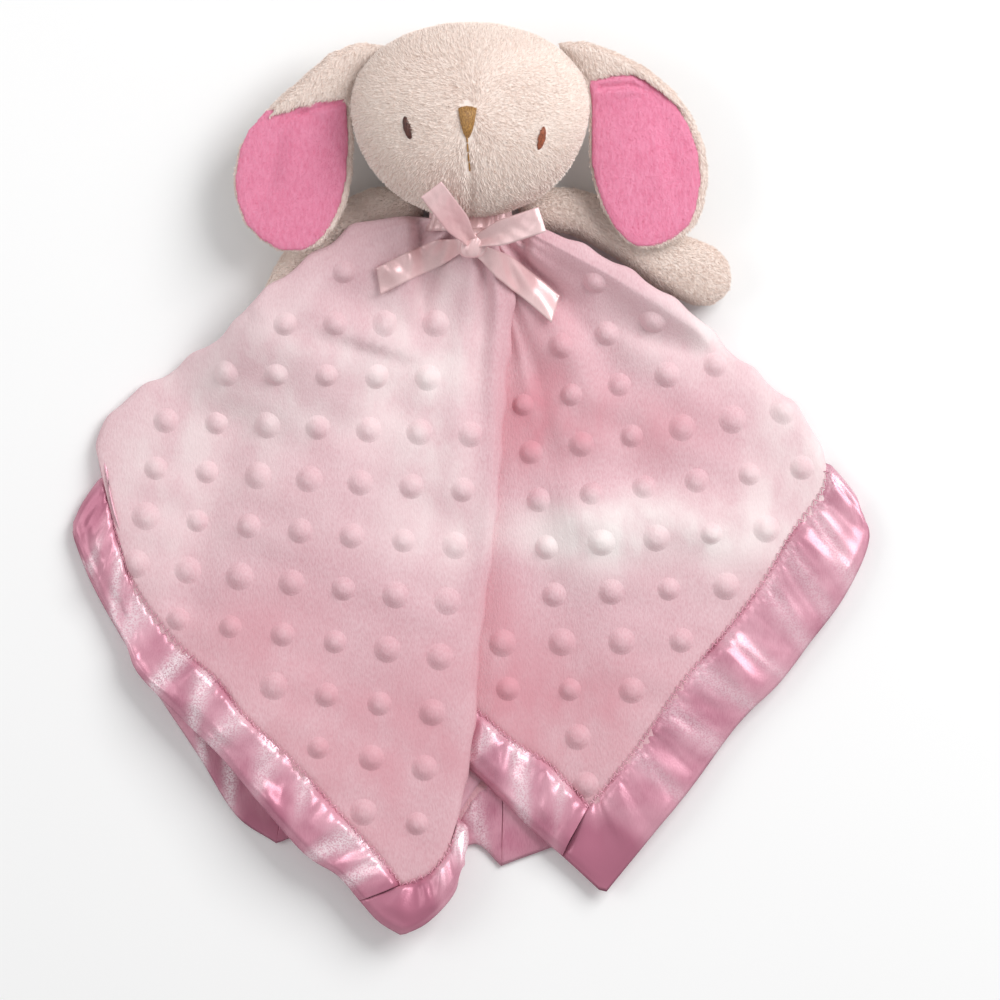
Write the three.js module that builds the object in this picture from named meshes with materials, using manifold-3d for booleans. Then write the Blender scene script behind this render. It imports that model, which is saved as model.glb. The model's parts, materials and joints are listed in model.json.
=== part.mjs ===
// Comfort blanket lovey: a plush rabbit head with lop ears and two stuffed arms, sewn to the middle
// of a square dotted plush blanket with a satin edge, lying on its back with its face up.
// Millimetres, +Z up from the table, +Y towards the top of the head, left and right as seen from above.
import * as THREE from "three";
import { mergeVertices } from "three/addons/utils/BufferGeometryUtils.js";
import Module from "manifold-3d";

const wasm = await Module();
wasm.setup();

// Blanket
const BLANKET_SIDE = 356;
const MINKY_THICK = 1.4;
const LINING_THICK = 0.6;
const PLY_GAP = 0.4;
const LAYER_GAP = 0.6;
const FRONT_LOFT = 3.4;
const VALLEY_DEPTH = 4.4;
const RIDGE_RISE = 3.2;
const FOLD_ROUND = 3.2;
const BINDING_LAP = 5;
const BINDING_SATIN = 0.5;
const SEWN_GAP = 0.35;
const MITRE_GAP = 0.4;

// Head
const HEAD_WIDTH = 82;
const HEAD_HEIGHT = 67;
const HEAD_DEPTH = 58;
const FABRIC_THICK = 1.6;
const STUFFING_GAP = 0.3;
const HEAD_TILT_DEG = 8;

// Neck
const NECK_WIDTH = 27;
const NECK_LENGTH = 2;
const NECK_RISE = 8.5;
const NECK_SWELL = 6.5;
const NECK_BAND_WIDTH = 8;
const RIBBON_THICK = 0.7;
const NECK_CORE_WIDTH = 15;
const NECK_CORE_DEPTH = 4.6;
const NECK_CORE_REACH = 5;

// Ears
const EAR_LENGTH = 73;
const EAR_THICK = 3.2;
const EAR_HOOD_THICK = 2.4;
const EAR_LINING_THICK = 1.8;
const EAR_LEVEL = 21.5;
const EAR_DROOP_DEG = 8;
const EAR_LIFT_DEG = 60;

// Arms
const ARM_LENGTH = 64;
const ARM_WIDTH = 20;
const ARM_DEPTH = 15.5;
const COVER_START = 26;
const COVER_RAMP = 10;

// Face
const EYE_LENGTH = 8.6;
const EYE_WIDTH = 3;
const NOSE_WIDTH = 6.5;
const NOSE_HEIGHT = 10.5;
const MOUTH_LENGTH = 12;
const MOUTH_WIDTH = 1.2;
const STITCH_RISE = 0.9;
const NOSE_RISE = 1.5;

// Bow
const BOW_RIBBON_WIDTH = 9;
const LEFT_LOOP_LENGTH = 35;
const RIGHT_LOOP_LENGTH = 24;
const LEFT_LOOP_RUN = 18.12;
const RIGHT_LOOP_RUN = 50.2;
const KNOT_WIDTH = 11;
const KNOT_HEIGHT = 10.5;
const KNOT_DEPTH = 6.5;
const LOOP_OPENING = 4.4;

// Clearances
const REST_GAP = 0.35;
const TABLE_GAP = 0.2;
const SWING_GAP = 0.4;

// How the numbers of the layout chart relate to the sizes. The chart is a square seen from above,
// counted from its upper left corner, and the neck stands at one point of it.
const CHART_PER_SIDE_SHARE = 0.983;
const NECK_CHART_SHARE = [0.4705, 0.223];
const TURN = Math.PI * 2;
const RIGHT_ANGLE = Math.PI / 2;
const HALF = 1 / 2;

// Neck centre to head centre, and the height of the head's middle over the table
const HEAD_CENTRE_Y = HEAD_HEIGHT * HALF + NECK_LENGTH;
const HEAD_CENTRE_Z = HEAD_DEPTH * HALF + TABLE_GAP;

// Blanket hem: each row is [across, down] of the stitched inner edge, then of the outer edge
const LEFT_HEM_SHARES = [
  [0.105, 0.472, 0.071, 0.531],
  [0.119, 0.54, 0.098, 0.59],
  [0.136, 0.587, 0.124, 0.64],
  [0.175, 0.64, 0.14, 0.675],
  [0.218, 0.68, 0.188, 0.724],
  [0.247, 0.717, 0.222, 0.757],
  [0.293, 0.76, 0.262, 0.805],
  [0.345, 0.818, 0.305, 0.853],
  [0.384, 0.861, 0.338, 0.875],
  [0.401, 0.884, 0.36, 0.9],
  [0.409, 0.882, 0.379, 0.921],
  [0.418, 0.878, 0.402, 0.935],
  [0.43, 0.872, 0.429, 0.921],
  [0.447, 0.852, 0.456, 0.89],
  [0.458, 0.821, 0.461, 0.855],
];
const UNDER_HEM_SHARES = [
  [0.458, 0.821, 0.461, 0.855],
  [0.432, 0.745, 0.418, 0.785],
  [0.372, 0.63, 0.342, 0.667],
];
const RIGHT_HEM_SHARES = [
  [0.372, 0.63, 0.342, 0.667],
  [0.425, 0.672, 0.4, 0.715],
  [0.479, 0.712, 0.462, 0.763],
  [0.513, 0.741, 0.496, 0.794],
  [0.547, 0.762, 0.534, 0.832],
  [0.572, 0.787, 0.568, 0.863],
  [0.589, 0.805, 0.604, 0.894],
  [0.61, 0.781, 0.648, 0.84],
  [0.644, 0.737, 0.69, 0.789],
  [0.683, 0.681, 0.738, 0.724],
  [0.726, 0.63, 0.779, 0.683],
  [0.761, 0.584, 0.808, 0.645],
  [0.79, 0.535, 0.845, 0.595],
  [0.822, 0.49, 0.869, 0.54],
  [0.826, 0.46, 0.86, 0.503],
];
const BACK_RIGHT_HEM_SHARES = [
  [0.826, 0.46, 0.86, 0.503],
  [0.76, 0.585, 0.8, 0.625],
  [0.66, 0.7, 0.7, 0.742],
  [0.56, 0.78, 0.59, 0.828],
  [0.5, 0.8, 0.501, 0.866],
  [0.48, 0.81, 0.479, 0.845],
  [0.458, 0.821, 0.46, 0.848],
];
// The back layer's outer edge from the middle to the left fold, beyond the front layer's stitched edge
const BACK_LEFT_EDGE_SHARES = [
  [0.46, 0.848],
  [0.452, 0.88],
  [0.428, 0.905],
  [0.404, 0.918],
  [0.389, 0.912],
  [0.375, 0.9],
  [0.352, 0.876],
  [0.306, 0.838],
  [0.276, 0.843],
  [0.236, 0.815],
  [0.2, 0.758],
  [0.158, 0.695],
  [0.12, 0.635],
  [0.09, 0.58],
  [0.071, 0.531],
];
// Place of each mitre seam in its hem table
const FRONT_LEFT_INDEX = 9;
const FRONT_RIGHT_INDEX = 6;
const BACK_RIGHT_INDEX = 4;
const BACK_LEFT_INDEX = 8;

// Lines from the neck to the hem: the two side folds and the two folds of the front pleat
const LEFT_FOLD_SHARES = [
  [0.429, 0.235],
  [0.411, 0.2405],
  [0.385, 0.2455],
  [0.368, 0.2515],
  [0.35, 0.245],
  [0.32, 0.26],
  [0.285, 0.281],
  [0.252, 0.304],
  [0.228, 0.335],
  [0.2, 0.352],
  [0.165, 0.377],
  [0.13, 0.397],
  [0.105, 0.425],
  [0.096, 0.447],
  [0.105, 0.472],
];
const PLEAT_EDGE_SHARES = [
  [0.512, 0.29],
  [0.507, 0.37],
  [0.495, 0.52],
  [0.479, 0.65],
  [0.476, 0.71],
  [0.467, 0.773],
  [0.458, 0.821],
];
const PLEAT_INNER_SHARES = [
  [0.462, 0.3],
  [0.445, 0.38],
  [0.41, 0.52],
  [0.372, 0.63],
];
const RIGHT_FOLD_SHARES = [
  [0.512, 0.236],
  [0.53, 0.2415],
  [0.56, 0.247],
  [0.591, 0.256],
  [0.66, 0.292],
  [0.7, 0.32],
  [0.725, 0.348],
  [0.768, 0.384],
  [0.8, 0.413],
  [0.817, 0.44],
  [0.826, 0.46],
];
// Where the four lines start, across the gathered neck in shares of its width
const NECK_START_SHARES = { left: -0.5, edge: 0.24, inner: -0.22, right: 0.5 };
const VALLEY_SHARES = [
  [0.34, 0.3],
  [0.235, 0.43],
  [0.205, 0.52],
  [0.188, 0.6],
];
const BUCKLE_SHARES = [
  [0.51, 0.535],
  [0.6, 0.515],
  [0.7, 0.53],
];
const PUFF_SHARES = [
  [0.6, 0.34],
  [0.66, 0.36],
  [0.7, 0.4],
];
const CREASE_REACH_SHARE = 0.054;
const FOLD_SAMPLE = 0.02;
const ROW_SHARES = [0, 0.07, 0.16, 0.26, 0.38, 0.52, 0.68, 0.85];

// Ears: the outline of each ear, of its lining and of its folded-over top, from the head's
// side, in shares of the ear's length
const LEFT_EAR_SHARES = [
  [-0.147, 0.355],
  [-0.008, 0.369],
  [0.127, 0.319],
  [0.227, 0.228],
  [0.39, 0.089],
  [0.491, -0.036],
  [0.553, -0.122],
  [0.577, -0.247],
  [0.572, -0.357],
  [0.529, -0.482],
  [0.448, -0.563],
  [0.362, -0.616],
  [0.256, -0.621],
  [0.17, -0.585],
  [0.098, -0.506],
  [0.045, -0.396],
  [0.016, -0.247],
  [0.012, -0.098],
  [0.016, 0.055],
  [-0.06, 0.223],
];
const LEFT_EAR_MIDDLE_SHARES = [0.256, -0.146];
const LEFT_LINING_SHARES = [
  [0.059, 0.117],
  [0.17, 0.113],
  [0.29, 0.093],
  [0.409, 0.046],
  [0.481, -0.031],
  [0.525, -0.127],
  [0.544, -0.252],
  [0.537, -0.357],
  [0.496, -0.463],
  [0.429, -0.532],
  [0.347, -0.58],
  [0.256, -0.585],
  [0.189, -0.554],
  [0.127, -0.482],
  [0.079, -0.381],
  [0.05, -0.242],
  [0.045, -0.089],
  [0.05, 0.031],
];
const LEFT_LINING_MIDDLE_SHARES = [0.294, -0.209];
const LEFT_HOOD_SHARES = [
  [-0.118, 0.343],
  [-0.008, 0.352],
  [0.117, 0.302],
  [0.215, 0.213],
  [0.373, 0.074],
  [0.467, -0.036],
  [0.419, -0.002],
  [0.29, 0.036],
  [0.17, 0.067],
  [0.035, 0.093],
  [0.007, 0.18],
];
const LEFT_HOOD_MIDDLE_SHARES = [0.17, 0.161];
const RIGHT_EAR_SHARES = [
  [-0.132, 0.372],
  [0.002, 0.378],
  [0.131, 0.333],
  [0.294, 0.252],
  [0.419, 0.146],
  [0.515, 0.012],
  [0.568, -0.127],
  [0.582, -0.271],
  [0.558, -0.405],
  [0.525, -0.491],
  [0.443, -0.563],
  [0.357, -0.597],
  [0.266, -0.607],
  [0.194, -0.573],
  [0.131, -0.501],
  [0.079, -0.41],
  [0.04, -0.29],
  [0.019, -0.18],
  [0.019, -0.093],
  [0.021, 0.031],
  [-0.046, 0.223],
];
const RIGHT_EAR_MIDDLE_SHARES = [0.275, -0.137];
const RIGHT_LINING_SHARES = [
  [0.045, 0.209],
  [0.131, 0.233],
  [0.222, 0.233],
  [0.309, 0.194],
  [0.424, 0.098],
  [0.491, -0.012],
  [0.534, -0.137],
  [0.546, -0.271],
  [0.525, -0.391],
  [0.493, -0.467],
  [0.424, -0.527],
  [0.347, -0.559],
  [0.27, -0.568],
  [0.213, -0.539],
  [0.16, -0.479],
  [0.112, -0.396],
  [0.074, -0.28],
  [0.052, -0.175],
  [0.052, -0.093],
  [0.055, 0.055],
];
const RIGHT_LINING_MIDDLE_SHARES = [0.29, -0.137];
const RIGHT_HOOD_SHARES = [
  [-0.113, 0.357],
  [-0, 0.362],
  [0.122, 0.319],
  [0.282, 0.237],
  [0.405, 0.137],
  [0.491, 0.022],
  [0.424, 0.079],
  [0.309, 0.175],
  [0.222, 0.213],
  [0.107, 0.204],
  [0.031, 0.18],
  [-0.036, 0.257],
];
const RIGHT_HOOD_MIDDLE_SHARES = [0.184, 0.257];
// Two places on the line each ear turns about
const LEFT_HINGE_SHARES = [[-0.089, 0.362], [0.045, -0.396]];
const RIGHT_HINGE_SHARES = [[-0.065, 0.362], [0.059, -0.396]];
const EAR_RIM_SHARE = 0.45;
const PAD_RINGS_SHARES = [0.3, 0.65, 0.9, 1];

// Arms: a path from the shoulder in shares of the arm's length, with the half width there in shares
// of the arm's width
const LEFT_ARM_SHARES = [
  [-0.105, 0.005, 0.18],
  [-0.07, 0.003, 0.34],
  [0, 0, 0.42],
  [0.16, -0.02, 0.47],
  [0.36, -0.12, 0.5],
  [0.53, -0.28, 0.53],
  [0.6, -0.42, 0.57],
  [0.635, -0.51, 0.58],
  [0.665, -0.585, 0.49],
  [0.682, -0.638, 0.28],
];
const RIGHT_ARM_SHARES = [
  [-0.105, 0.005, 0.18],
  [-0.07, 0.003, 0.34],
  [0, 0, 0.42],
  [0.24, -0.03, 0.47],
  [0.5, -0.14, 0.5],
  [0.72, -0.26, 0.55],
  [0.86, -0.31, 0.59],
  [0.96, -0.345, 0.55],
  [1.03, -0.37, 0.42],
  [1.07, -0.383, 0.24],
];
const ARM_SIDE_COUNT = 14;
const ARM_DROOP_SHARE = 2;
const SHOULDER_SHARE = 0.32;
const SHOULDER_UP_SHARE = 0.19;
const ARM_SEAM_SHARE = 0.2;

// Head: shares of the half width and of the half depth, from the crown to the chin
const HEAD_STATIONS_SHARES = [
  [1, 0, 0],
  [0.975, 0.26, 0.2],
  [0.88, 0.54, 0.44],
  [0.72, 0.76, 0.67],
  [0.5, 0.92, 0.86],
  [0.24, 1, 0.97],
  [-0.04, 0.985, 1],
  [-0.32, 0.91, 0.95],
  [-0.56, 0.79, 0.83],
  [-0.76, 0.62, 0.66],
  [-0.9, 0.42, 0.46],
  [-0.98, 0.2, 0.22],
  [-1, 0, 0],
];
const HEAD_SIDE_COUNT = 24;
const NOSE_OUTLINE_SHARES = [
  [-0.5, 0.2],
  [-0.44, 0.4],
  [-0.22, 0.5],
  [0.22, 0.5],
  [0.44, 0.4],
  [0.5, 0.2],
  [0.42, -0.05],
  [0.26, -0.32],
  [0.12, -0.5],
  [-0.12, -0.5],
  [-0.26, -0.32],
  [-0.42, -0.05],
];
const EYE_OUTLINE_SHARES = [
  [-0.5, 0],
  [-0.36, 0.34],
  [0, 0.5],
  [0.36, 0.34],
  [0.5, 0],
  [0.36, -0.34],
  [0, -0.5],
  [-0.36, -0.34],
];
const LEFT_EYE_SHARES = [-0.53, -0.1];
const RIGHT_EYE_SHARES = [0.6, -0.206];
const LEFT_EYE_TURN_DEG = 112;
const RIGHT_EYE_TURN_DEG = 70;
const NOSE_SHARES = [-0.023, -0.025];

// Bow: the loops' directions seen from above, and the ribbon tails' middles from the knot in
// ribbon widths
const LEFT_LOOP_DEG = 128;
const RIGHT_LOOP_DEG = 18;
const LOOP_OUTLINE_SHARES = [
  [0, 0.12],
  [0.14, 0.24],
  [0.35, 0.42],
  [0.6, 0.5],
  [0.8, 0.46],
  [0.94, 0.3],
  [1, 0.1],
];
const LOOP_PINCH_SHARE = 0.55;
const KNOT_COUNT = 8;
const TAIL_COUNT = 8;
const TAIL_END_INDEXES = [
  [0, 1, 4],
  [0, 4, 5],
  [1, 2, 3],
  [1, 3, 4],
];
const LEFT_TAIL_SHARES = [
  [-0.5, -0.1],
  [-1.2, -0.34],
  [-1.95, -0.66],
  [-2.75, -1.04],
  [-3.62, -1.5],
];
const RIGHT_TAIL_SHARES = [
  [0.55, -0.42],
  [1.15, -0.86],
  [1.8, -1.36],
  [2.5, -1.9],
  [3.25, -2.55],
];
const KNOT_SHARES = [0.472, 0.244];

// One number between two others, one place between two others, and a soft step from 0 to 1
const mix = (a, b, t) => a + (b - a) * t;
const mixPoint = (p, q, t) => p.map((v, k) => mix(v, q[k], t));
const clamp01 = (v) => Math.min(1, Math.max(0, v));
const ease = (v) => {
  const t = clamp01(v);
  return t * t * (3 - t - t);
};
const radians = THREE.MathUtils.degToRad;
const bell = (v) => Math.exp(-v * v);

// The place on a polyline at a share of its number of spans, or of its length
const along = (line, t) => {
  const at = clamp01(t) * (line.length - 1);
  const i = Math.min(line.length - 2, Math.floor(at));
  return mixPoint(line[i], line[i + 1], at - i);
};
const distance = (p, q) => Math.hypot(p[0] - q[0], p[1] - q[1]);
const byLength = (line) => {
  const marks = [0];
  for (let i = 1; i < line.length; i++) {
    marks.push(marks[i - 1] + distance(line[i], line[i - 1]));
  }
  const all = marks[marks.length - 1];
  return (t) => {
    const want = clamp01(t) * all;
    let i = 1;
    while (i < line.length - 1 && marks[i] < want) {
      i += 1;
    }
    return mixPoint(line[i - 1], line[i], (want - marks[i - 1]) / (marks[i] - marks[i - 1]));
  };
};
// How far a place is from a polyline, and the share of the line nearest to it
const nearest = (line, x, y) => {
  let best = [Infinity, 0];
  for (let i = 1; i < line.length; i++) {
    const [a, b] = [line[i - 1], line[i]];
    const [dx, dy] = [b[0] - a[0], b[1] - a[1]];
    const t = clamp01(((x - a[0]) * dx + (y - a[1]) * dy) / (dx * dx + dy * dy));
    const d = Math.hypot(x - a[0] - dx * t, y - a[1] - dy * t);
    if (d < best[0]) {
      best = [d, (i - 1 + t) / (line.length - 1)];
    }
  }
  return best;
};

// Solids: a body from rings of places, the two ends closed by fans
const solidFrom = (points, faces) => {
  const geometry = new THREE.BufferGeometry();
  geometry.setAttribute("position", new THREE.Float32BufferAttribute(points.flat(), 3));
  geometry.setIndex(faces.flat());
  return solidOf(geometry);
};
const solidOf = (geometry) => {
  const bare = geometry.clone();
  bare.deleteAttribute("normal");
  bare.deleteAttribute("uv");
  const merged = mergeVertices(bare, MINKY_THICK / 1e5);
  const place = merged.attributes.position;
  let index = Array.from(merged.index.array);
  let volume = 0;
  const corner = (i) => new THREE.Vector3().fromBufferAttribute(place, index[i]);
  for (let i = 0; i < index.length; i += 3) {
    volume += corner(i).dot(corner(i + 1).cross(corner(i + 2)));
  }
  if (volume < 0) {
    index = index.map((v, i) => index[i - (i % 3) + (2 - (i % 3))]);
  }
  const mesh = new wasm.Mesh({
    numProp: 3,
    vertProperties: new Float32Array(place.array),
    triVerts: new Uint32Array(index),
  });
  return new wasm.Manifold(mesh);
};
const loft = (rings) => {
  const points = rings.flat();
  const faces = [];
  let start = 0;
  for (let i = 1; i < rings.length; i++) {
    const [a, b] = [rings[i - 1].length, rings[i].length];
    const next = start + a;
    const n = Math.max(a, b);
    for (let k = 0; k < n; k++) {
      const m = (k + 1) % n;
      if (a > 1) {
        faces.push([start + k, start + m, next + (b > 1 ? k : 0)]);
      }
      if (b > 1) {
        faces.push([start + (a > 1 ? m : 0), next + m, next + k]);
      }
    }
    start = next;
  }
  return solidFrom(points, faces);
};
// A straight-sided body over an outline, from one height to another
const prism = (outline, low, high) => {
  const shape = new THREE.Shape(outline.map(([x, y]) => new THREE.Vector2(x, y)));
  const body = new THREE.ExtrudeGeometry(shape, { depth: high - low, bevelEnabled: false });
  body.translate(0, 0, low);
  return solidOf(body);
};
// A pad over an outline: rings shrink towards a middle, heights follow the share of the way out
const pad = (outline, middle, bottom, top) => {
  const ring = (share, height) =>
    outline.map((p) => [...mixPoint(middle, p, share), height(share)]);
  const shares = PAD_RINGS_SHARES;
  const under = shares.map((s) => ring(s, bottom));
  const over = shares.map((s) => ring(s, top)).reverse();
  return loft([[[...middle, bottom(0)]], ...under, ...over, [[...middle, top(0)]]]);
};

// The head's form, grown or shrunk all round by a distance
const headForm = (grow, stations, sides) => {
  const rings = stations.map(([up, wide, deep]) => {
    const y = HEAD_CENTRE_Y + up * (HEAD_HEIGHT * HALF + grow);
    if (wide === 0) {
      return [[0, y, HEAD_CENTRE_Z]];
    }
    return Array.from({ length: sides }, (_, k) => {
      const turn = (k / sides) * TURN;
      return [
        Math.cos(turn) * wide * (HEAD_WIDTH * HALF + grow),
        y,
        HEAD_CENTRE_Z + Math.sin(turn) * deep * (HEAD_DEPTH * HALF + grow),
      ];
    });
  });
  return loft(rings);
};
const headBody = (grow) => headForm(grow, HEAD_STATIONS_SHARES, HEAD_SIDE_COUNT);

// A solid turned about an upright line, or about any line through a place
const turned = (solid, matrix) => solid.transform(Array.from(matrix.elements));
const aboutUpright = (x, y, degrees) =>
  new THREE.Matrix4()
    .makeTranslation(x, y, 0)
    .multiply(new THREE.Matrix4().makeRotationZ(radians(degrees)))
    .multiply(new THREE.Matrix4().makeTranslation(-x, -y, 0));
const aboutLine = (place, direction, degrees) =>
  new THREE.Matrix4()
    .makeTranslation(...place)
    .multiply(
      new THREE.Matrix4().makeRotationAxis(
        new THREE.Vector3(...direction).normalize(),
        radians(degrees),
      ),
    )
    .multiply(new THREE.Matrix4().makeTranslation(...place.map((v) => -v)));
const stepsOf = (low, high, count) =>
  Array.from({ length: count + 1 }, (_, i) => mix(low, high, i / count));

// Arms, laid out from the shoulder outwards
const SHOULDER_Y = ARM_WIDTH * SHOULDER_UP_SHARE;
const SHOULDER_X = NECK_WIDTH * HALF + RIBBON_THICK + ARM_WIDTH * SHOULDER_SHARE;
const armSpine = (shares, side, shrink = 0) => {
  const middle = along(shares, HALF);
  const shorter = 1 - (shrink + shrink) / ARM_LENGTH;
  return shares.map(([out, up, wide]) => [
    side * (SHOULDER_X + mix(middle[0], out, shorter) * ARM_LENGTH),
    SHOULDER_Y + mix(middle[1], up, shorter) * ARM_LENGTH,
    wide * ARM_WIDTH,
  ]);
};
const armForm = (shares, side, shrink) => {
  const spine = armSpine(shares, side, shrink);
  const rings = spine.map(([x, y, wide], i) => {
    const before = spine[Math.max(0, i - 1)];
    const after = spine[Math.min(spine.length - 1, i + 1)];
    const way = new THREE.Vector2(after[0] - before[0], after[1] - before[1]).normalize();
    const across = wide - shrink;
    const high = Math.min(ARM_DEPTH * HALF, wide * (ARM_DEPTH / ARM_WIDTH)) - shrink;
    return Array.from({ length: ARM_SIDE_COUNT }, (_, k) => {
      const turn = (k / ARM_SIDE_COUNT) * TURN;
      return [
        x - way.y * Math.cos(turn) * across,
        y + way.x * Math.cos(turn) * across,
        TABLE_GAP + ARM_DEPTH * HALF + Math.sin(turn) * high,
      ];
    });
  });
  const cap = (i, j) => {
    const [a, b] = [spine[i], spine[j]];
    const reach = (spine[i][2] - shrink) * HALF * HALF;
    const long = distance(a, b);
    return [
      [
        a[0] + ((a[0] - b[0]) / long) * reach,
        a[1] + ((a[1] - b[1]) / long) * reach,
        TABLE_GAP + ARM_DEPTH * HALF,
      ],
    ];
  };
  return loft([cap(0, 1), ...rings, cap(spine.length - 1, spine.length - 2)]);
};

// The blanket's layout, from the neck's place on the chart
const CHART = BLANKET_SIDE * CHART_PER_SIDE_SHARE;
const onChart = ([across, down]) => [
  (across - NECK_CHART_SHARE[0]) * CHART,
  (NECK_CHART_SHARE[1] - down) * CHART,
];
const chartLine = (line) => line.map(onChart);
const PLY = MINKY_THICK + PLY_GAP + LINING_THICK;
const RIGHT_LEVEL = PLY + PLY + LAYER_GAP;
const UNDER_LEVEL = RIGHT_LEVEL + LAYER_GAP;
const LEFT_LEVEL = UNDER_LEVEL + PLY + PLY + LAYER_GAP;
const coveredArm = armSpine(LEFT_ARM_SHARES, -1);
const FALL_REACH = ARM_WIDTH * ARM_DROOP_SHARE;

// How high the cloth is lifted from below: by the arms it lies on, and towards the neck
const lift = (x, y) => {
  const high = NECK_RISE * (1 - ease(Math.hypot(x, y) / (NECK_WIDTH + NECK_WIDTH * HALF)));
  const [far, share] = nearest(coveredArm, x, y);
  const wide = along(coveredArm, share)[2];
  const inside = wide * (1 - HALF * HALF * HALF);
  const top = TABLE_GAP + ARM_DEPTH + REST_GAP + REST_GAP;
  const fall = 1 - ease((far - inside) / (wide - inside + FALL_REACH));
  return Math.max(high, top * fall * ease((-x - COVER_START) / COVER_RAMP));
};
const valley = chartLine(VALLEY_SHARES);
const buckle = chartLine(BUCKLE_SHARES);
const puff = chartLine(PUFF_SHARES);
const CREASE_REACH = CREASE_REACH_SHARE * CHART;
const swell = (s) => NECK_SWELL * (1 - ease(s / (HALF * HALF)));
const bulge = (t, s) => FRONT_LOFT * Math.sqrt(clamp01(Math.sin(Math.PI * t))) * ease(s * 4);
const leftHeight = (x, y, t, s) => {
  const drop = VALLEY_DEPTH * bell(nearest(valley, x, y)[0] / CREASE_REACH) * ease(s + s);
  const flat = mix(RIGHT_LEVEL, LEFT_LEVEL, ease((t + t) * ease(s + HALF * HALF) + 1 - ease(s + s + HALF)));
  return flat + swell(s) + bulge(t, s) - drop * Math.sin(Math.PI * clamp01(t));
};
const rightHeight = (x, y, t, s) => {
  const clear = ease((t - HALF * HALF) / (HALF * HALF));
  const rise = bell(nearest(buckle, x, y)[0] / CREASE_REACH) * RIDGE_RISE;
  const more = bell(nearest(puff, x, y)[0] / CREASE_REACH) * RIDGE_RISE;
  return RIGHT_LEVEL + swell(s) + clear * (bulge(t, s) + (rise + more) * ease(s * 4));
};

// Four patches of cloth between their two side lines, the neck and the hem
const fromNeck = (name, line) => [[NECK_START_SHARES[name] * NECK_WIDTH, 0], ...chartLine(line)];
const sides = {
  left: fromNeck("left", LEFT_FOLD_SHARES),
  edge: fromNeck("edge", PLEAT_EDGE_SHARES),
  inner: fromNeck("inner", PLEAT_INNER_SHARES),
  right: fromNeck("right", RIGHT_FOLD_SHARES),
};
const backLeftHem = [...LEFT_HEM_SHARES]
  .reverse()
  .map(([x, y], i) => [x, y, ...BACK_LEFT_EDGE_SHARES[i]]);
const patches = [
  { from: "left", to: "edge", hem: LEFT_HEM_SHARES, inward: -1, height: leftHeight },
  {
    from: "edge",
    to: "inner",
    hem: UNDER_HEM_SHARES,
    inward: 1,
    height: (x, y, t, s) => UNDER_LEVEL + swell(s),
  },
  { from: "inner", to: "right", hem: RIGHT_HEM_SHARES, inward: -1, height: rightHeight },
  { from: "right", to: "edge", hem: BACK_RIGHT_HEM_SHARES, inward: 1, height: () => 0, open: "end" },
  { from: "edge", to: "left", hem: backLeftHem, inward: 1, height: () => 0, open: "start" },
].map((patch) => {
  const first = byLength(sides[patch.from]);
  const last = byLength(sides[patch.to]);
  const inner = patch.hem.map(([x, y]) => onChart([x, y]));
  const outer = patch.hem.map(([, , x, y]) => onChart([x, y]));
  const marks = [0];
  for (let i = 1; i < inner.length; i++) {
    marks.push(marks[i - 1] + distance(inner[i], inner[i - 1]) + MITRE_GAP);
  }
  return {
    ...patch,
    first,
    last,
    inner,
    outer,
    marks: marks.map((m) => m / marks[marks.length - 1]),
  };
});
// The place in the plan of a patch at t across and s down, by blending its four border lines
const hemAt = (patch, line, t) => {
  const { marks } = patch;
  let i = 1;
  while (i < marks.length - 1 && marks[i] < t) {
    i += 1;
  }
  return mixPoint(line[i - 1], line[i], clamp01((t - marks[i - 1]) / (marks[i] - marks[i - 1])));
};
const planOf = (patch, t, s) => {
  const [p, q] = [patch.first(s), patch.last(s)];
  const [a, b] = [patch.first(0), patch.last(0)];
  const [c, d] = [patch.inner[0], patch.inner[patch.inner.length - 1]];
  const hem = hemAt(patch, patch.inner, t);
  return [0, 1].map((k) => {
    const ruled = mix(p[k], q[k], t);
    const drawn = mix(mix(a[k], b[k], t), hem[k], s);
    const corners = mix(mix(a[k], b[k], t), mix(c[k], d[k], t), s);
    return ruled + drawn - corners;
  });
};
// The columns round the whole cloth: inside each patch, and one on each fold line
const columns = patches.flatMap((patch, n) => {
  const ahead = patches[(n + 1) % patches.length];
  const list = patch.marks.slice(1, -1).map((t) => ({ patch, t, fold: null }));
  const whole = patch.marks[patch.marks.length - 1];
  const mate = { patch, t: whole, fold: "end" };
  const end = [mate, { patch, t: whole, fold: "apex", ahead, mate }];
  return [
    { patch, t: 0, fold: patch.open === "start" ? null : "start" },
    ...list,
    ...(patch.open === "end" ? [] : end),
  ];
});
// The columns inside a patch keep clear of the rounding of its two folds, less so towards the hem
const insidePlan = (patch, t, s) => {
  const wide = distance(patch.first(s), patch.last(s));
  const round = Math.min(FOLD_ROUND / wide, HALF * HALF + HALF * HALF * HALF) * (1 - s * s);
  return planOf(patch, mix(round, 1 - round, t), s);
};
// The way into a patch from one of its folds, square to the fold line
const wayIn = (patch, fold, s) => {
  const side = fold === "start" ? patch.first : patch.last;
  const [p, q] = [side(s - FOLD_SAMPLE), side(s + FOLD_SAMPLE)];
  const long = distance(p, q);
  const way = [(p[1] - q[1]) / long, (q[0] - p[0]) / long];
  const [here, within] = [side(s), planOf(patch, HALF, s)];
  const facing = way[0] * (within[0] - here[0]) + way[1] * (within[1] - here[1]);
  return facing < 0 ? way.map((v) => -v) : way;
};
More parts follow.
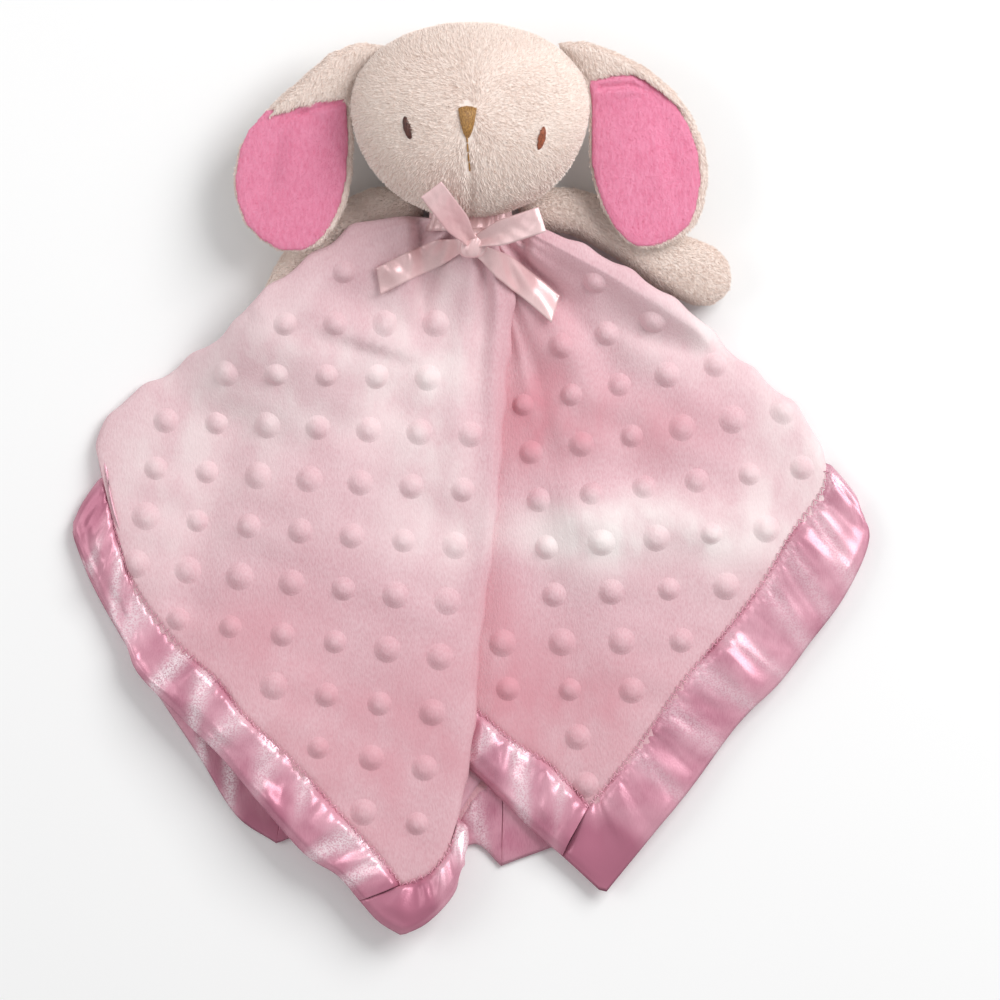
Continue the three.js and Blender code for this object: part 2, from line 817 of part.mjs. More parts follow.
// Where a column's cloth is at s down or, past the stitched edge, at a distance beyond it
const columnPlan = (column, s, beyond) => {
  const { patch, t, fold } = column;
  let place = fold ? planOf(patch, t, s) : insidePlan(patch, t, s);
  if (beyond < 0) {
    const back = insets.get(column);
    return columnPlan(column, s, 0).map((v, k) => v - back[k] * beyond);
  }
  if (beyond !== 0) {
    const inner = hemAt(patch, patch.inner, t);
    const outer = hemAt(patch, patch.outer, t);
    const share = beyond === "outer" ? 1 : beyond / distance(inner, outer);
    place = mixPoint(inner, outer, share);
  }
  if (fold === "start" || fold === "end") {
    const way = wayIn(patch, fold, s);
    place = place.map((v, k) => v + way[k] * FOLD_ROUND);
  }
  return place;
};
// The way from each column's hem point into the cloth, so that a step along it clears the hem evenly
const insets = new Map();
columns.forEach((column, k) => {
  const { patch, fold, t } = column;
  const count = columns.length;
  if (fold === "apex") {
    const [p, q] = [patch.last(1), patch.last(1 - FOLD_SAMPLE)];
    insets.set(column, [0, 1].map((i) => (q[i] - p[i]) / distance(p, q)));
    return;
  }
  const side = patch.inward < 0 ? 1 : -1;
  const points = [count - 1, 0, 1].map((step) => columnPlan(columns[(k + step) % count], 1, 0));
  const [m, n] = [0, 1].map((i) => {
    const [a, b] = [points[i], points[i + 1]];
    const long = distance(a, b);
    return [((a[1] - b[1]) / long) * side, ((b[0] - a[0]) / long) * side];
  });
  const spread = 1 + m[0] * n[0] + m[1] * n[1];
  insets.set(column, [0, 1].map((i) => (m[i] + n[i]) / spread));
});
// A place in space on the cloth at a depth in from its outer face
const clothAt = (column, s, beyond, depth) => {
  const { patch, t, fold, ahead, mate } = column;
  const plan = columnPlan(column, s, beyond);
  const [x, y] = plan;
  if (fold !== "apex") {
    const z = lift(x, y) + patch.height(x, y, t, s) + patch.inward * depth;
    return [x, y, z];
  }
  const z = lift(x, y) + mix(patch.height(x, y, 1, s), ahead.height(x, y, 0, s), HALF);
  const back = columnPlan(mate, s, beyond);
  const long = distance(back, plan);
  const turn = patch.inward * (patch.height(x, y, 1, s) - ahead.height(x, y, 0, s)) > 0 ? -1 : 1;
  return [
    x - turn * ((x - back[0]) / long) * depth,
    y - turn * ((y - back[1]) / long) * depth,
    z,
  ];
};
// A cloth layer all round, open at the neck and at the hem
const clothLayer = (rows, list) => {
  const outer = rows.map(([s, beyond, depth]) => list.map((c) => clothAt(c, s, beyond, depth)));
  const inner = rows.map(([s, beyond, , deep]) => list.map((c) => clothAt(c, s, beyond, deep)));
  const rings = [...outer, ...inner.reverse()];
  const faces = [];
  const n = list.length;
  rings.forEach((_, i) => {
    const next = ((i + 1) % rings.length) * n;
    for (let k = 0; k < n; k++) {
      const m = (k + 1) % n;
      const [a, b, c, d] = [i * n + k, i * n + m, next + m, next + k];
      if (i < rows.length === list[k].patch.inward > 0) {
        faces.push([a, b, c], [a, c, d]);
      } else {
        faces.push([a, b, d], [b, c, d]);
      }
    }
  });
  return solidFrom(rings.flat(), faces);
};
const TONGUE = [BINDING_SATIN + REST_GAP, PLY - BINDING_SATIN - REST_GAP];
const minkyRows = [
  ...ROW_SHARES.map((s) => [s, 0, 0, MINKY_THICK]),
  [1, -SEWN_GAP - SEWN_GAP, 0, MINKY_THICK],
  [1, -SEWN_GAP, ...TONGUE],
  [1, BINDING_LAP, ...TONGUE],
];
const liningRows = [
  ...ROW_SHARES.map((s) => [s, 0, MINKY_THICK + PLY_GAP, PLY]),
  [1, -SEWN_GAP - SEWN_GAP - SEWN_GAP, MINKY_THICK + PLY_GAP, PLY],
];
const minkyPanel = clothLayer(minkyRows, columns);
const satinLining = clothLayer(liningRows, columns);

// The satin edge: a folded strip that takes the cloth's edge between its two halves
const stripAt = (column) => [
  clothAt(column, 1, 0, 0),
  clothAt(column, 1, BINDING_LAP + REST_GAP, 0),
  clothAt(column, 1, "outer", BINDING_SATIN),
  clothAt(column, 1, "outer", PLY - BINDING_SATIN),
  clothAt(column, 1, BINDING_LAP + REST_GAP, PLY),
  clothAt(column, 1, 0, PLY),
  clothAt(column, 1, 0, PLY - BINDING_SATIN),
  clothAt(column, 1, BINDING_LAP + REST_GAP, PLY - BINDING_SATIN),
  clothAt(column, 1, BINDING_LAP + REST_GAP, BINDING_SATIN),
  clothAt(column, 1, 0, BINDING_SATIN),
];
const STRIP_END_INDEXES = [
  [0, 1, 8],
  [0, 8, 9],
  [6, 7, 4],
  [6, 4, 5],
  [1, 2, 3],
  [1, 3, 4],
  [1, 4, 7],
  [1, 7, 8],
];
const strip = (list) => {
  const sections = list.map(stripAt);
  const n = sections[0].length;
  const faces = [];
  for (let i = 1; i < sections.length; i++) {
    for (let k = 0; k < n; k++) {
      const m = (k + 1) % n;
      faces.push([(i - 1) * n + k, (i - 1) * n + m, i * n + k]);
      faces.push([(i - 1) * n + m, i * n + m, i * n + k]);
    }
  }
  const last = (sections.length - 1) * n;
  STRIP_END_INDEXES.forEach((face) => {
    faces.push([...face].reverse());
    faces.push(face.map((v) => v + last));
  });
  return solidFrom(sections.flat(), faces);
};
// A column a little to one side of a mitre seam
const besideSeam = (patch, seam, side) => {
  const { marks, inner } = patch;
  const span = distance(inner[seam], inner[seam + side]);
  const t = mix(marks[seam], marks[seam + side], (MITRE_GAP * HALF) / span);
  return { patch, t, fold: null };
};
const seams = [
  [patches[0], FRONT_LEFT_INDEX],
  [patches[2], FRONT_RIGHT_INDEX],
  [patches[3], BACK_RIGHT_INDEX],
  [patches[4], BACK_LEFT_INDEX],
];
const stripBetween = (start, end) => {
  const [patchA, seamA] = start;
  const [patchB, seamB] = end;
  const from = columns.findIndex((c) => c.patch === patchA && c.t === patchA.marks[seamA]);
  const list = [besideSeam(patchA, seamA, 1)];
  for (let i = 1; i < columns.length; i++) {
    const c = columns[(from + i) % columns.length];
    if (c.patch === patchB && c.t === patchB.marks[seamB]) {
      break;
    }
    list.push(c);
  }
  list.push(besideSeam(patchB, seamB, -1));
  return strip(list);
};
const bindingFront = stripBetween(seams[0], seams[1]);
const bindingRight = stripBetween(seams[1], seams[2]);
const bindingBack = stripBetween(seams[2], seams[3]);
const bindingLeft = stripBetween(seams[3], seams[0]);

// Neck: a stuffed core from inside the gathered cloth up into the head, and a ribbon round the gather
const NECK_CENTRE_Z = NECK_RISE + PLY + (RIGHT_LEVEL - PLY - PLY + NECK_SWELL) * HALF;
const CORE_END = NECK_CORE_WIDTH * HALF;
const coreForm = (grow) => {
  const half = NECK_CORE_WIDTH * HALF + grow;
  const deep = NECK_CORE_DEPTH * HALF + grow;
  const steps = stepsOf(0, RIGHT_ANGLE, 4).slice(0, -1);
  const bottom = -NECK_CORE_REACH - grow;
  const outline = [
    [bottom, half * (1 - HALF * HALF)],
    [bottom * HALF, half],
    ...steps.map((a) => [Math.sin(a) * (CORE_END + grow), Math.cos(a) * half]),
  ];
  const ring = ([y, wide]) =>
    Array.from({ length: ARM_SIDE_COUNT }, (_, k) => {
      const turn = (k / ARM_SIDE_COUNT) * TURN;
      return [Math.cos(turn) * wide, y, NECK_CENTRE_Z + Math.sin(turn) * deep];
    });
  return loft([
    [[0, bottom - grow, NECK_CENTRE_Z]],
    ...outline.map(ring),
    [[0, CORE_END + grow, NECK_CENTRE_Z]],
  ]);
};
const neckCore = coreForm(0);
const headCuts = stepsOf(-HEAD_TILT_DEG, HEAD_TILT_DEG, 4);
const coreSweep = headCuts
  .map((angle) => turned(coreForm(REST_GAP), aboutUpright(0, 0, angle)))
  .reduce((a, b) => a.add(b));
const headSweep = headCuts
  .map((angle) => turned(headBody(SWING_GAP), aboutUpright(0, 0, angle)))
  .reduce((a, b) => a.add(b));

// The gather's outside at the neck, for the ribbon that is tied round it
const GATHER_LOW = NECK_RISE;
const GATHER_HIGH = NECK_RISE + LEFT_LEVEL + NECK_SWELL;
const bandRing = (grow, y) => {
  const [wide, deep] = [NECK_WIDTH * HALF + grow, (GATHER_HIGH - GATHER_LOW) * HALF + grow];
  const middle = (GATHER_HIGH + GATHER_LOW) * HALF;
  const squared = (v) => Math.sign(v) * Math.abs(v) ** (HALF * HALF * HALF + HALF * HALF);
  return Array.from({ length: HEAD_SIDE_COUNT }, (_, k) => {
    const turn = ((k + HALF) / HEAD_SIDE_COUNT) * TURN;
    return [squared(Math.cos(turn)) * wide, y, middle + squared(Math.sin(turn)) * deep];
  });
};
const BAND_LOW = REST_GAP;
const BAND_HIGH = NECK_BAND_WIDTH;
const tube = (rings) => {
  const n = rings[0].length;
  const faces = [];
  rings.forEach((_, i) => {
    const next = ((i + 1) % rings.length) * n;
    for (let k = 0; k < n; k++) {
      const m = (k + 1) % n;
      faces.push([i * n + k, i * n + m, next + k]);
      faces.push([i * n + m, next + m, next + k]);
    }
  });
  return solidFrom(rings.flat(), faces);
};
const BAND_INNER = REST_GAP;
const neckRibbon = tube([
  bandRing(BAND_INNER, BAND_LOW),
  bandRing(BAND_INNER + RIBBON_THICK, BAND_LOW),
  bandRing(BAND_INNER + RIBBON_THICK, BAND_HIGH),
  bandRing(BAND_INNER, BAND_HIGH),
]).subtract(headSweep);

// Head: a sewn skin, open at the neck, with its stuffing inside
const headSkin = headBody(0).subtract(headBody(-FABRIC_THICK)).subtract(coreSweep);
const headStuffing = headBody(-FABRIC_THICK - STUFFING_GAP).subtract(coreSweep);

// Arms: a skin that is open where it is sewn on, with its stuffing inside
const armParts = [
  [LEFT_ARM_SHARES, -1],
  [RIGHT_ARM_SHARES, 1],
].map(([shares, side]) => {
  const whole = armForm(shares, side, 0).subtract(headSweep);
  const hollow = armForm(shares, side, FABRIC_THICK);
  const seam = side * (SHOULDER_X - ARM_WIDTH * ARM_SEAM_SHARE);
  const mouth = prism(
    [
      [seam, -ARM_WIDTH],
      [seam - side * ARM_WIDTH, -ARM_WIDTH],
      [seam - side * ARM_WIDTH, ARM_WIDTH],
      [seam, ARM_WIDTH],
    ],
    -ARM_DEPTH,
    ARM_DEPTH + ARM_DEPTH,
  );
  const grownHead = headSweep;
  const skin = whole.subtract(hollow).subtract(mouth);
  const stuffing = armForm(shares, side, FABRIC_THICK + STUFFING_GAP).subtract(grownHead);
  return { skin, stuffing };
});

// Ears: a folded plush pad with its lining tucked under the fold
const earPlace = (side) => ([out, up]) => [
  side * (HEAD_WIDTH * HALF + out * EAR_LENGTH),
  HEAD_CENTRE_Y + up * EAR_LENGTH,
];
const EAR_TOP = EAR_LEVEL + EAR_THICK;
const earParts = [
  [
    -1,
    LEFT_EAR_SHARES,
    LEFT_EAR_MIDDLE_SHARES,
    LEFT_LINING_SHARES,
    LEFT_LINING_MIDDLE_SHARES,
    LEFT_HOOD_SHARES,
    LEFT_HOOD_MIDDLE_SHARES,
    LEFT_HINGE_SHARES,
  ],
  [
    1,
    RIGHT_EAR_SHARES,
    RIGHT_EAR_MIDDLE_SHARES,
    RIGHT_LINING_SHARES,
    RIGHT_LINING_MIDDLE_SHARES,
    RIGHT_HOOD_SHARES,
    RIGHT_HOOD_MIDDLE_SHARES,
    RIGHT_HINGE_SHARES,
  ],
].map(([side, ear, earMiddle, lining, liningMiddle, hood, hoodMiddle, turnLine]) => {
  const place = earPlace(side);
  const rim = EAR_THICK * EAR_RIM_SHARE;
  const dome = (share) => Math.sqrt(Math.max(0, 1 - share ** 4));
  const bottom = (s) => EAR_LEVEL + (EAR_THICK - rim) * HALF * (1 - dome(s));
  const flat = (s) => EAR_TOP - (EAR_THICK - rim) * HALF * (1 - dome(s));
  const base = pad(ear.map(place), place(earMiddle), bottom, flat);
  const hoodTop = EAR_TOP + EAR_HOOD_THICK;
  const over = pad(
    hood.map(place),
    place(hoodMiddle),
    () => EAR_LEVEL + EAR_THICK * HALF,
    (s) => hoodTop - EAR_HOOD_THICK * (1 - dome(s)),
  );
  const liningLow = EAR_TOP - EAR_LINING_THICK * HALF;
  const liningTop = (grow) => (s) =>
    liningLow + EAR_LINING_THICK * mix(HALF, 1, dome(s)) + grow;
  const liningForm = (grow) => {
    const outline = lining.map(place);
    const middle = place(liningMiddle);
    const grown = outline.map((p) => {
      const far = distance(p, middle);
      return mixPoint(middle, p, (far + grow) / far);
    });
    return pad(grown, middle, () => liningLow - grow, liningTop(grow));
  };
  const hinge = earHinge(side, turnLine);
  const headWays = stepsOf(0, -EAR_LIFT_DEG, 4)
    .map((angle) =>
      turned(headBody(SWING_GAP), aboutLine(hinge.place, hinge.direction, angle)),
    )
    .reduce((a, b) => a.add(b));
  const drooped = (solid) =>
    turned(solid, aboutLine(hinge.place, hinge.direction, -EAR_DROOP_DEG)).subtract(headWays);
  const plush = drooped(base.add(over).subtract(liningForm(REST_GAP)));
  const tucked = drooped(liningForm(0));
  return { plush: largest(plush), lining: largest(tucked) };
});
// The line each ear turns about: the seam at the head's side, along the top of the ear's root
function earHinge(side, turnLine) {
  const [top, low] = turnLine.map(earPlace(side));
  const way = side < 0 ? [top, low] : [low, top];
  return {
    place: [...top, EAR_TOP + EAR_HOOD_THICK],
    direction: [way[0][0] - way[1][0], way[0][1] - way[1][1], 0],
  };
}
// The biggest piece of a cut body
function largest(solid) {
  return solid.decompose().sort((a, b) => b.volume() - a.volume())[0];
}

// Face: thread worked on the skin, inside an outline seen from above
const threadOn = (outline, rise) =>
  largest(
    headBody(REST_GAP + rise)
      .subtract(headBody(REST_GAP))
      .intersect(prism(outline, HEAD_CENTRE_Z, HEAD_DEPTH + HEAD_DEPTH)),
  );
const headPlace = ([across, up]) => [
  across * HEAD_WIDTH * HALF,
  HEAD_CENTRE_Y + up * HEAD_HEIGHT * HALF,
];
const shapedAt = (shares, centre, wide, high, degrees) => {
  const [x, y] = headPlace(centre);
  const [c, s] = [Math.cos(radians(degrees)), Math.sin(radians(degrees))];
  return shares.map(([a, b]) => {
    const [u, v] = [a * wide, b * high];
    return [x + u * c - v * s, y + u * s + v * c];
  });
};
const leftEye = threadOn(
  shapedAt(EYE_OUTLINE_SHARES, LEFT_EYE_SHARES, EYE_LENGTH, EYE_WIDTH, LEFT_EYE_TURN_DEG),
  STITCH_RISE,
);
const rightEye = threadOn(
  shapedAt(EYE_OUTLINE_SHARES, RIGHT_EYE_SHARES, EYE_LENGTH, EYE_WIDTH, RIGHT_EYE_TURN_DEG),
  STITCH_RISE,
);
const nose = threadOn(
  shapedAt(NOSE_OUTLINE_SHARES, NOSE_SHARES, NOSE_WIDTH, NOSE_HEIGHT, 0),
  NOSE_RISE,
);
const mouthTop = headPlace([NOSE_SHARES[0], NOSE_SHARES[1]])[1] - NOSE_HEIGHT * HALF - REST_GAP;
const mouthX = headPlace(NOSE_SHARES)[0];
const mouth = threadOn(
  [
    [mouthX - MOUTH_WIDTH * HALF, mouthTop],
    [mouthX + MOUTH_WIDTH * HALF, mouthTop],
    [mouthX + MOUTH_WIDTH * HALF, mouthTop - MOUTH_LENGTH],
    [mouthX - MOUTH_WIDTH * HALF, mouthTop - MOUTH_LENGTH],
  ],
  STITCH_RISE,
);

// Bow: a knot that lies on the gathered cloth, two loops that stand up over the chin, and two tails
const topNear = (x, y, reach) => {
  const column = prism(
    [
      [x - reach, y - reach],
      [x + reach, y - reach],
      [x + reach, y + reach],
      [x - reach, y + reach],
    ],
    0,
    HEAD_DEPTH,
  );
  return minkyPanel.intersect(column).boundingBox().max[2];
};
const [KNOT_X, KNOT_Y] = onChart(KNOT_SHARES);
const KNOT_Z = topNear(KNOT_X, KNOT_Y, KNOT_WIDTH * HALF * HALF) + REST_GAP + KNOT_DEPTH * HALF;
const knotForm = (grow) => {
  const steps = stepsOf(-RIGHT_ANGLE, RIGHT_ANGLE, KNOT_COUNT).slice(1, -1);
  const [wide, high, deep] = [KNOT_WIDTH, KNOT_HEIGHT, KNOT_DEPTH].map((v) => v * HALF + grow);
  return loft([
    [[KNOT_X, KNOT_Y - high, KNOT_Z]],
    ...steps.map((a) =>
      Array.from({ length: ARM_SIDE_COUNT }, (_, k) => {
        const turn = (k / ARM_SIDE_COUNT) * TURN;
        return [
          KNOT_X + Math.cos(turn) * wide * Math.cos(a),
          KNOT_Y + Math.sin(a) * high,
          KNOT_Z + Math.sin(turn) * deep * Math.cos(a),
        ];
      }),
    ),
    [[KNOT_X, KNOT_Y + high, KNOT_Z]],
  ]);
};
const knotGrown = knotForm(REST_GAP);
const loopForm = (length, direction, run) => {
  const opening = LOOP_OPENING + RIBBON_THICK;
  const half = (list) => [...list, ...[...list].reverse().map(([u, v]) => [u, -v])];
  const outer = half(LOOP_OUTLINE_SHARES.map(([u, v]) => [u * length, v * opening]));
  const middle = [length * HALF, 0];
  const shape = new THREE.Shape(outer.map(([u, v]) => new THREE.Vector2(u, v)));
  const inner = outer.map(([u, v], i) => {
    const before = outer[(i + outer.length - 1) % outer.length];
    const after = outer[(i + 1) % outer.length];
    const long = distance(before, after);
    const way = [(after[1] - before[1]) / long, -(after[0] - before[0]) / long];
    const facing = way[0] * (middle[0] - u) + way[1] * (middle[1] - v) < 0 ? -1 : 1;
    const thick = Math.min(RIBBON_THICK, Math.abs(v) * HALF + (u > middle[0] ? RIBBON_THICK : 0));
    return new THREE.Vector2(u + way[0] * facing * thick, v + way[1] * facing * thick);
  });
  shape.holes.push(new THREE.Path(inner.reverse()));
  const body = new THREE.ExtrudeGeometry(shape, { depth: BOW_RIBBON_WIDTH, bevelEnabled: false });
  body.translate(0, 0, -BOW_RIBBON_WIDTH * HALF);
  const place = body.attributes.position;
  for (let i = 0; i < place.count; i++) {
    const width = mix(LOOP_PINCH_SHARE, 1, ease(place.getX(i) / (length * HALF)));
    place.setZ(i, place.getZ(i) * width);
  }
  const [a, r] = [radians(direction), Math.atan2(HEAD_DEPTH * HALF, run)];
  const u = new THREE.Vector3(Math.cos(a) * Math.cos(r), Math.sin(a) * Math.cos(r), Math.sin(r));
  const w = new THREE.Vector3(-Math.sin(a), Math.cos(a), 0);
  const v = new THREE.Vector3().crossVectors(w, u);
  const start = u.clone().multiplyScalar(KNOT_DEPTH * HALF);
  body.applyMatrix4(
    new THREE.Matrix4()
      .makeBasis(u, v, w)
      .setPosition(KNOT_X + start.x, KNOT_Y + start.y, KNOT_Z + start.z),
  );
  return largest(solidOf(body).subtract(knotGrown));
};
const tailForm = (shares) => {
  const line = stepsOf(0, 1, TAIL_COUNT).map((t) =>
    along(shares, t).map((v, k) => v * BOW_RIBBON_WIDTH + [KNOT_X, KNOT_Y][k]),
  );
  const probe = BOW_RIBBON_WIDTH * HALF * HALF;
  const sections = line.map(([x, y], i) => {
    const before = line[Math.max(0, i - 1)];
    const after = line[Math.min(line.length - 1, i + 1)];
    const long = distance(before, after);
    const across = [(before[1] - after[1]) / long, (after[0] - before[0]) / long];
    const spots = [-HALF, 0, HALF].map((share) => {
      const spot = [0, 1].map((k) => [x, y][k] + across[k] * share * BOW_RIBBON_WIDTH);
      return [...spot, topNear(...spot, probe) + REST_GAP];
    });
    const over = [...spots].reverse().map(([u, v, w]) => [u, v, w + RIBBON_THICK]);
    return [...spots, ...over];
  });
  const n = sections[0].length;
  const faces = [];
  for (let i = 1; i < sections.length; i++) {
    for (let k = 0; k < n; k++) {
      const m = (k + 1) % n;
      faces.push([(i - 1) * n + k, (i - 1) * n + m, i * n + k]);
      faces.push([(i - 1) * n + m, i * n + m, i * n + k]);
    }
  }
  const last = (sections.length - 1) * n;
  TAIL_END_INDEXES.forEach((face) => {
    faces.push([...face].reverse());
    faces.push(face.map((v) => v + last));
  });
  return largest(solidFrom(sections.flat(), faces).subtract(knotGrown));
};
const knot = knotForm(0);
const leftLoop = loopForm(LEFT_LOOP_LENGTH, LEFT_LOOP_DEG, LEFT_LOOP_RUN);
const rightLoop = loopForm(RIGHT_LOOP_LENGTH, RIGHT_LOOP_DEG, RIGHT_LOOP_RUN);
const leftTail = tailForm(LEFT_TAIL_SHARES);
const rightTail = tailForm(RIGHT_TAIL_SHARES);

const finish = (name, solid, colour, roughness) => {
  const out = solid.getMesh();
  const geometry = new THREE.BufferGeometry();
  geometry.setAttribute("position", new THREE.BufferAttribute(out.vertProperties, 3));
  geometry.setIndex(new THREE.BufferAttribute(out.triVerts, 1));
  geometry.computeVertexNormals();
  const material = new THREE.MeshStandardMaterial({ color: colour, roughness, metalness: 0 });
  const mesh = new THREE.Mesh(geometry, material);
  mesh.name = name;
  return mesh;
};

const lovey = new THREE.Group();
lovey.name = "comfort_blanket_lovey";
lovey.add(
  finish("minky_panel", minkyPanel, 0xecccd4, 0.95),
  finish("satin_lining", satinLining, 0xe2a6bc, 0.45),
  finish("binding_left", bindingLeft, 0xe1a0b9, 0.35),
  finish("binding_front", bindingFront, 0xe1a0b9, 0.35),
  finish("binding_right", bindingRight, 0xe1a0b9, 0.35),
  finish("binding_back", bindingBack, 0xe1a0b9, 0.35),
  finish("neck_core", neckCore, 0xf2eee8, 1),
  finish("neck_ribbon", neckRibbon, 0xe4afb4, 0.35),
  finish("bow_knot", knot, 0xe6b2b6, 0.35),
  finish("bow_left_loop", leftLoop, 0xe6b2b6, 0.35),
  finish("bow_right_loop", rightLoop, 0xe6b2b6, 0.35),
  finish("bow_left_tail", leftTail, 0xe6b2b6, 0.35),
  finish("bow_right_tail", rightTail, 0xe6b2b6, 0.35),
  finish("head_skin", headSkin, 0xe4dad0, 1),
  finish("head_stuffing", headStuffing, 0xf2eee8, 1),
  finish("nose_embroidery", nose, 0xb2844a, 0.5),
  finish("mouth_stitch", mouth, 0xb2844a, 0.5),
  finish("left_eye_embroidery", leftEye, 0x5c322a, 0.5),
  finish("right_eye_embroidery", rightEye, 0x8a4a34, 0.5),
  finish("left_ear_plush", earParts[0].plush, 0xe4dad0, 1),
  finish("left_ear_lining", earParts[0].lining, 0xee7fae, 0.9),
  finish("right_ear_plush", earParts[1].plush, 0xe4dad0, 1),
  finish("right_ear_lining", earParts[1].lining, 0xee7fae, 0.9),
  finish("left_arm_skin", armParts[0].skin, 0xe4dad0, 1),
  finish("left_arm_stuffing", armParts[0].stuffing, 0xf2eee8, 1),
  finish("right_arm_skin", armParts[1].skin, 0xe4dad0, 1),
  finish("right_arm_stuffing", armParts[1].stuffing, 0xf2eee8, 1),
);

// The origin is the middle of the footprint, on the table
const extent = new THREE.Box3().setFromObject(lovey);
const middle = extent.getCenter(new THREE.Vector3());
lovey.children.forEach((mesh) => mesh.geometry.translate(-middle.x, -middle.y, -extent.min.z));

export default lovey;
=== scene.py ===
"""A comfort blanket lovey, as it lies on a table with its face up.

A plush rabbit's head and two stuffed arms are sewn to the middle of a square of dotted minky with
a satin lining and a satin edge. All sizes are in metres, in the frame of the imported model.
"""

import json
import logging
import math
from collections.abc import Callable, Sequence
from dataclasses import dataclass
from enum import Enum
from itertools import product

import bmesh
import bpy
import numpy as np
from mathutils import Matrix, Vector
from mathutils.bvhtree import BVHTree


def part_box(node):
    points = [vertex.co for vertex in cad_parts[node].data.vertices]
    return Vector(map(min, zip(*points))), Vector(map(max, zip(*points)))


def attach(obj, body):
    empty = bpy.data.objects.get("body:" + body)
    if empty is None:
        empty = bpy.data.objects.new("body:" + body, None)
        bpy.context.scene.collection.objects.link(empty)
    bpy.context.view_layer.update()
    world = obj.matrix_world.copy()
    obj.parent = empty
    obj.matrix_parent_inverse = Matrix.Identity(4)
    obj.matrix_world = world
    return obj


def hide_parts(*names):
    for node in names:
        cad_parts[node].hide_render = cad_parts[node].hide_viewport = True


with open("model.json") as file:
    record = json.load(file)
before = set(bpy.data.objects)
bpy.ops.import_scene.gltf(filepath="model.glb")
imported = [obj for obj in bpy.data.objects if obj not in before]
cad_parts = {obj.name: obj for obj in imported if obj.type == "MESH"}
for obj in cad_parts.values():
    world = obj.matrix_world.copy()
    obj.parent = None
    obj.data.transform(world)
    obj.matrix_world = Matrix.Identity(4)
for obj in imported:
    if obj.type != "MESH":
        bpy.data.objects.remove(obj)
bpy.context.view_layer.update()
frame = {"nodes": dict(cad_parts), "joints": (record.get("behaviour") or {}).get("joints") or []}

LOG = logging.getLogger("lovey")
MM = 0.001
SEED = 11
# The height above or below the floor from which rays are cast at the cloth
RAY_START = 0.2
Array = np.ndarray
Value = np.ndarray | float
Colour = tuple[float, float, float]
Socket = bpy.types.NodeSocket
Feed = bpy.types.NodeSocket | float | tuple


# Places and numbers


def mix(a: Value, b: Value, t: Value) -> Value:
    """Returns the value a share t of the way from a to b, for numbers and arrays alike."""
    return a + (b - a) * t


def ease(v: Value) -> Value:
    """Returns a soft step from 0 to 1 over the same range."""
    t = np.clip(v, 0.0, 1.0)
    return t * t * (3.0 - 2.0 * t)


def bell(v: Value) -> Value:
    """Returns a smooth hump, 1 at zero and falling off on both sides."""
    return np.exp(-np.square(v))


def unit(v: Array) -> Array:
    """Returns vectors scaled to length one."""
    return v / np.maximum(np.linalg.norm(v, axis=-1, keepdims=True), 1e-12)


class Ripple:
    """A smooth random height over a plane, made of a few slanted waves.

    Args:
        size: The middle wavelength.
        seed: The fixed seed for the waves' directions and phases.
        waves: How many waves are summed.
    """

    def __init__(self, size: float, seed: int, waves: int = 7) -> None:
        source = np.random.default_rng(seed)
        turn = source.uniform(0.0, math.tau, waves)
        length = size * source.uniform(0.6, 1.7, waves)
        self.ways = np.stack([np.cos(turn), np.sin(turn)], -1) * (math.tau / length)[:, None]
        self.phases = source.uniform(0.0, math.tau, waves)

    def __call__(self, x: Array, y: Array) -> Array:
        """Returns the height at each place, about -1 to 1."""
        total = sum(
            np.sin(x * way[0] + y * way[1] + phase)
            for way, phase in zip(self.ways, self.phases)
        )
        return total / math.sqrt(len(self.phases)) / 1.4


# The layout seen from above

# The chart is a square seen from above, counted from its upper left corner. Tables hold shares of
# its side, and the neck stands at one point of it.
CHART_SIDE = 350 * MM
NECK_ON_CHART = (0.4705, 0.223)
NECK = Vector(next(j for j in frame["joints"] if j["name"] == "head_tilt")["pos_m"])


def on_chart(shares: Sequence) -> Array:
    """Returns the places in the frame's plan of places on the chart."""
    p = np.asarray(shares, float)
    x = (p[..., 0] - NECK_ON_CHART[0]) * CHART_SIDE + NECK.x
    y = (NECK_ON_CHART[1] - p[..., 1]) * CHART_SIDE + NECK.y
    return np.stack([x, y], -1)


# Each hem row is the stitched inner edge, then the outer edge
LEFT_HEM = (
    (0.105, 0.472, 0.071, 0.531), (0.119, 0.54, 0.098, 0.59), (0.136, 0.587, 0.124, 0.64),
    (0.175, 0.64, 0.14, 0.675), (0.218, 0.68, 0.188, 0.724), (0.247, 0.717, 0.222, 0.757),
    (0.293, 0.76, 0.262, 0.805), (0.345, 0.818, 0.305, 0.853), (0.384, 0.861, 0.338, 0.875),
    (0.401, 0.884, 0.36, 0.9), (0.409, 0.882, 0.379, 0.921), (0.418, 0.878, 0.402, 0.935),
    (0.43, 0.872, 0.429, 0.921), (0.447, 0.852, 0.456, 0.89), (0.458, 0.821, 0.461, 0.855),
)
UNDER_HEM = (
    (0.458, 0.821, 0.461, 0.855), (0.432, 0.745, 0.418, 0.785), (0.372, 0.63, 0.342, 0.667),
)
RIGHT_HEM = (
    (0.372, 0.63, 0.342, 0.667), (0.425, 0.672, 0.4, 0.715), (0.479, 0.712, 0.462, 0.763),
    (0.513, 0.741, 0.496, 0.794), (0.547, 0.762, 0.534, 0.832), (0.572, 0.787, 0.549, 0.8445),
    (0.589, 0.805, 0.562, 0.8555), (0.596, 0.797, 0.604, 0.894), (0.61, 0.781, 0.648, 0.84),
    (0.644, 0.737, 0.69, 0.789), (0.683, 0.681, 0.738, 0.724), (0.726, 0.63, 0.779, 0.683),
    (0.761, 0.584, 0.808, 0.645), (0.79, 0.535, 0.845, 0.595), (0.822, 0.49, 0.869, 0.54),
    (0.826, 0.46, 0.86, 0.503),
)
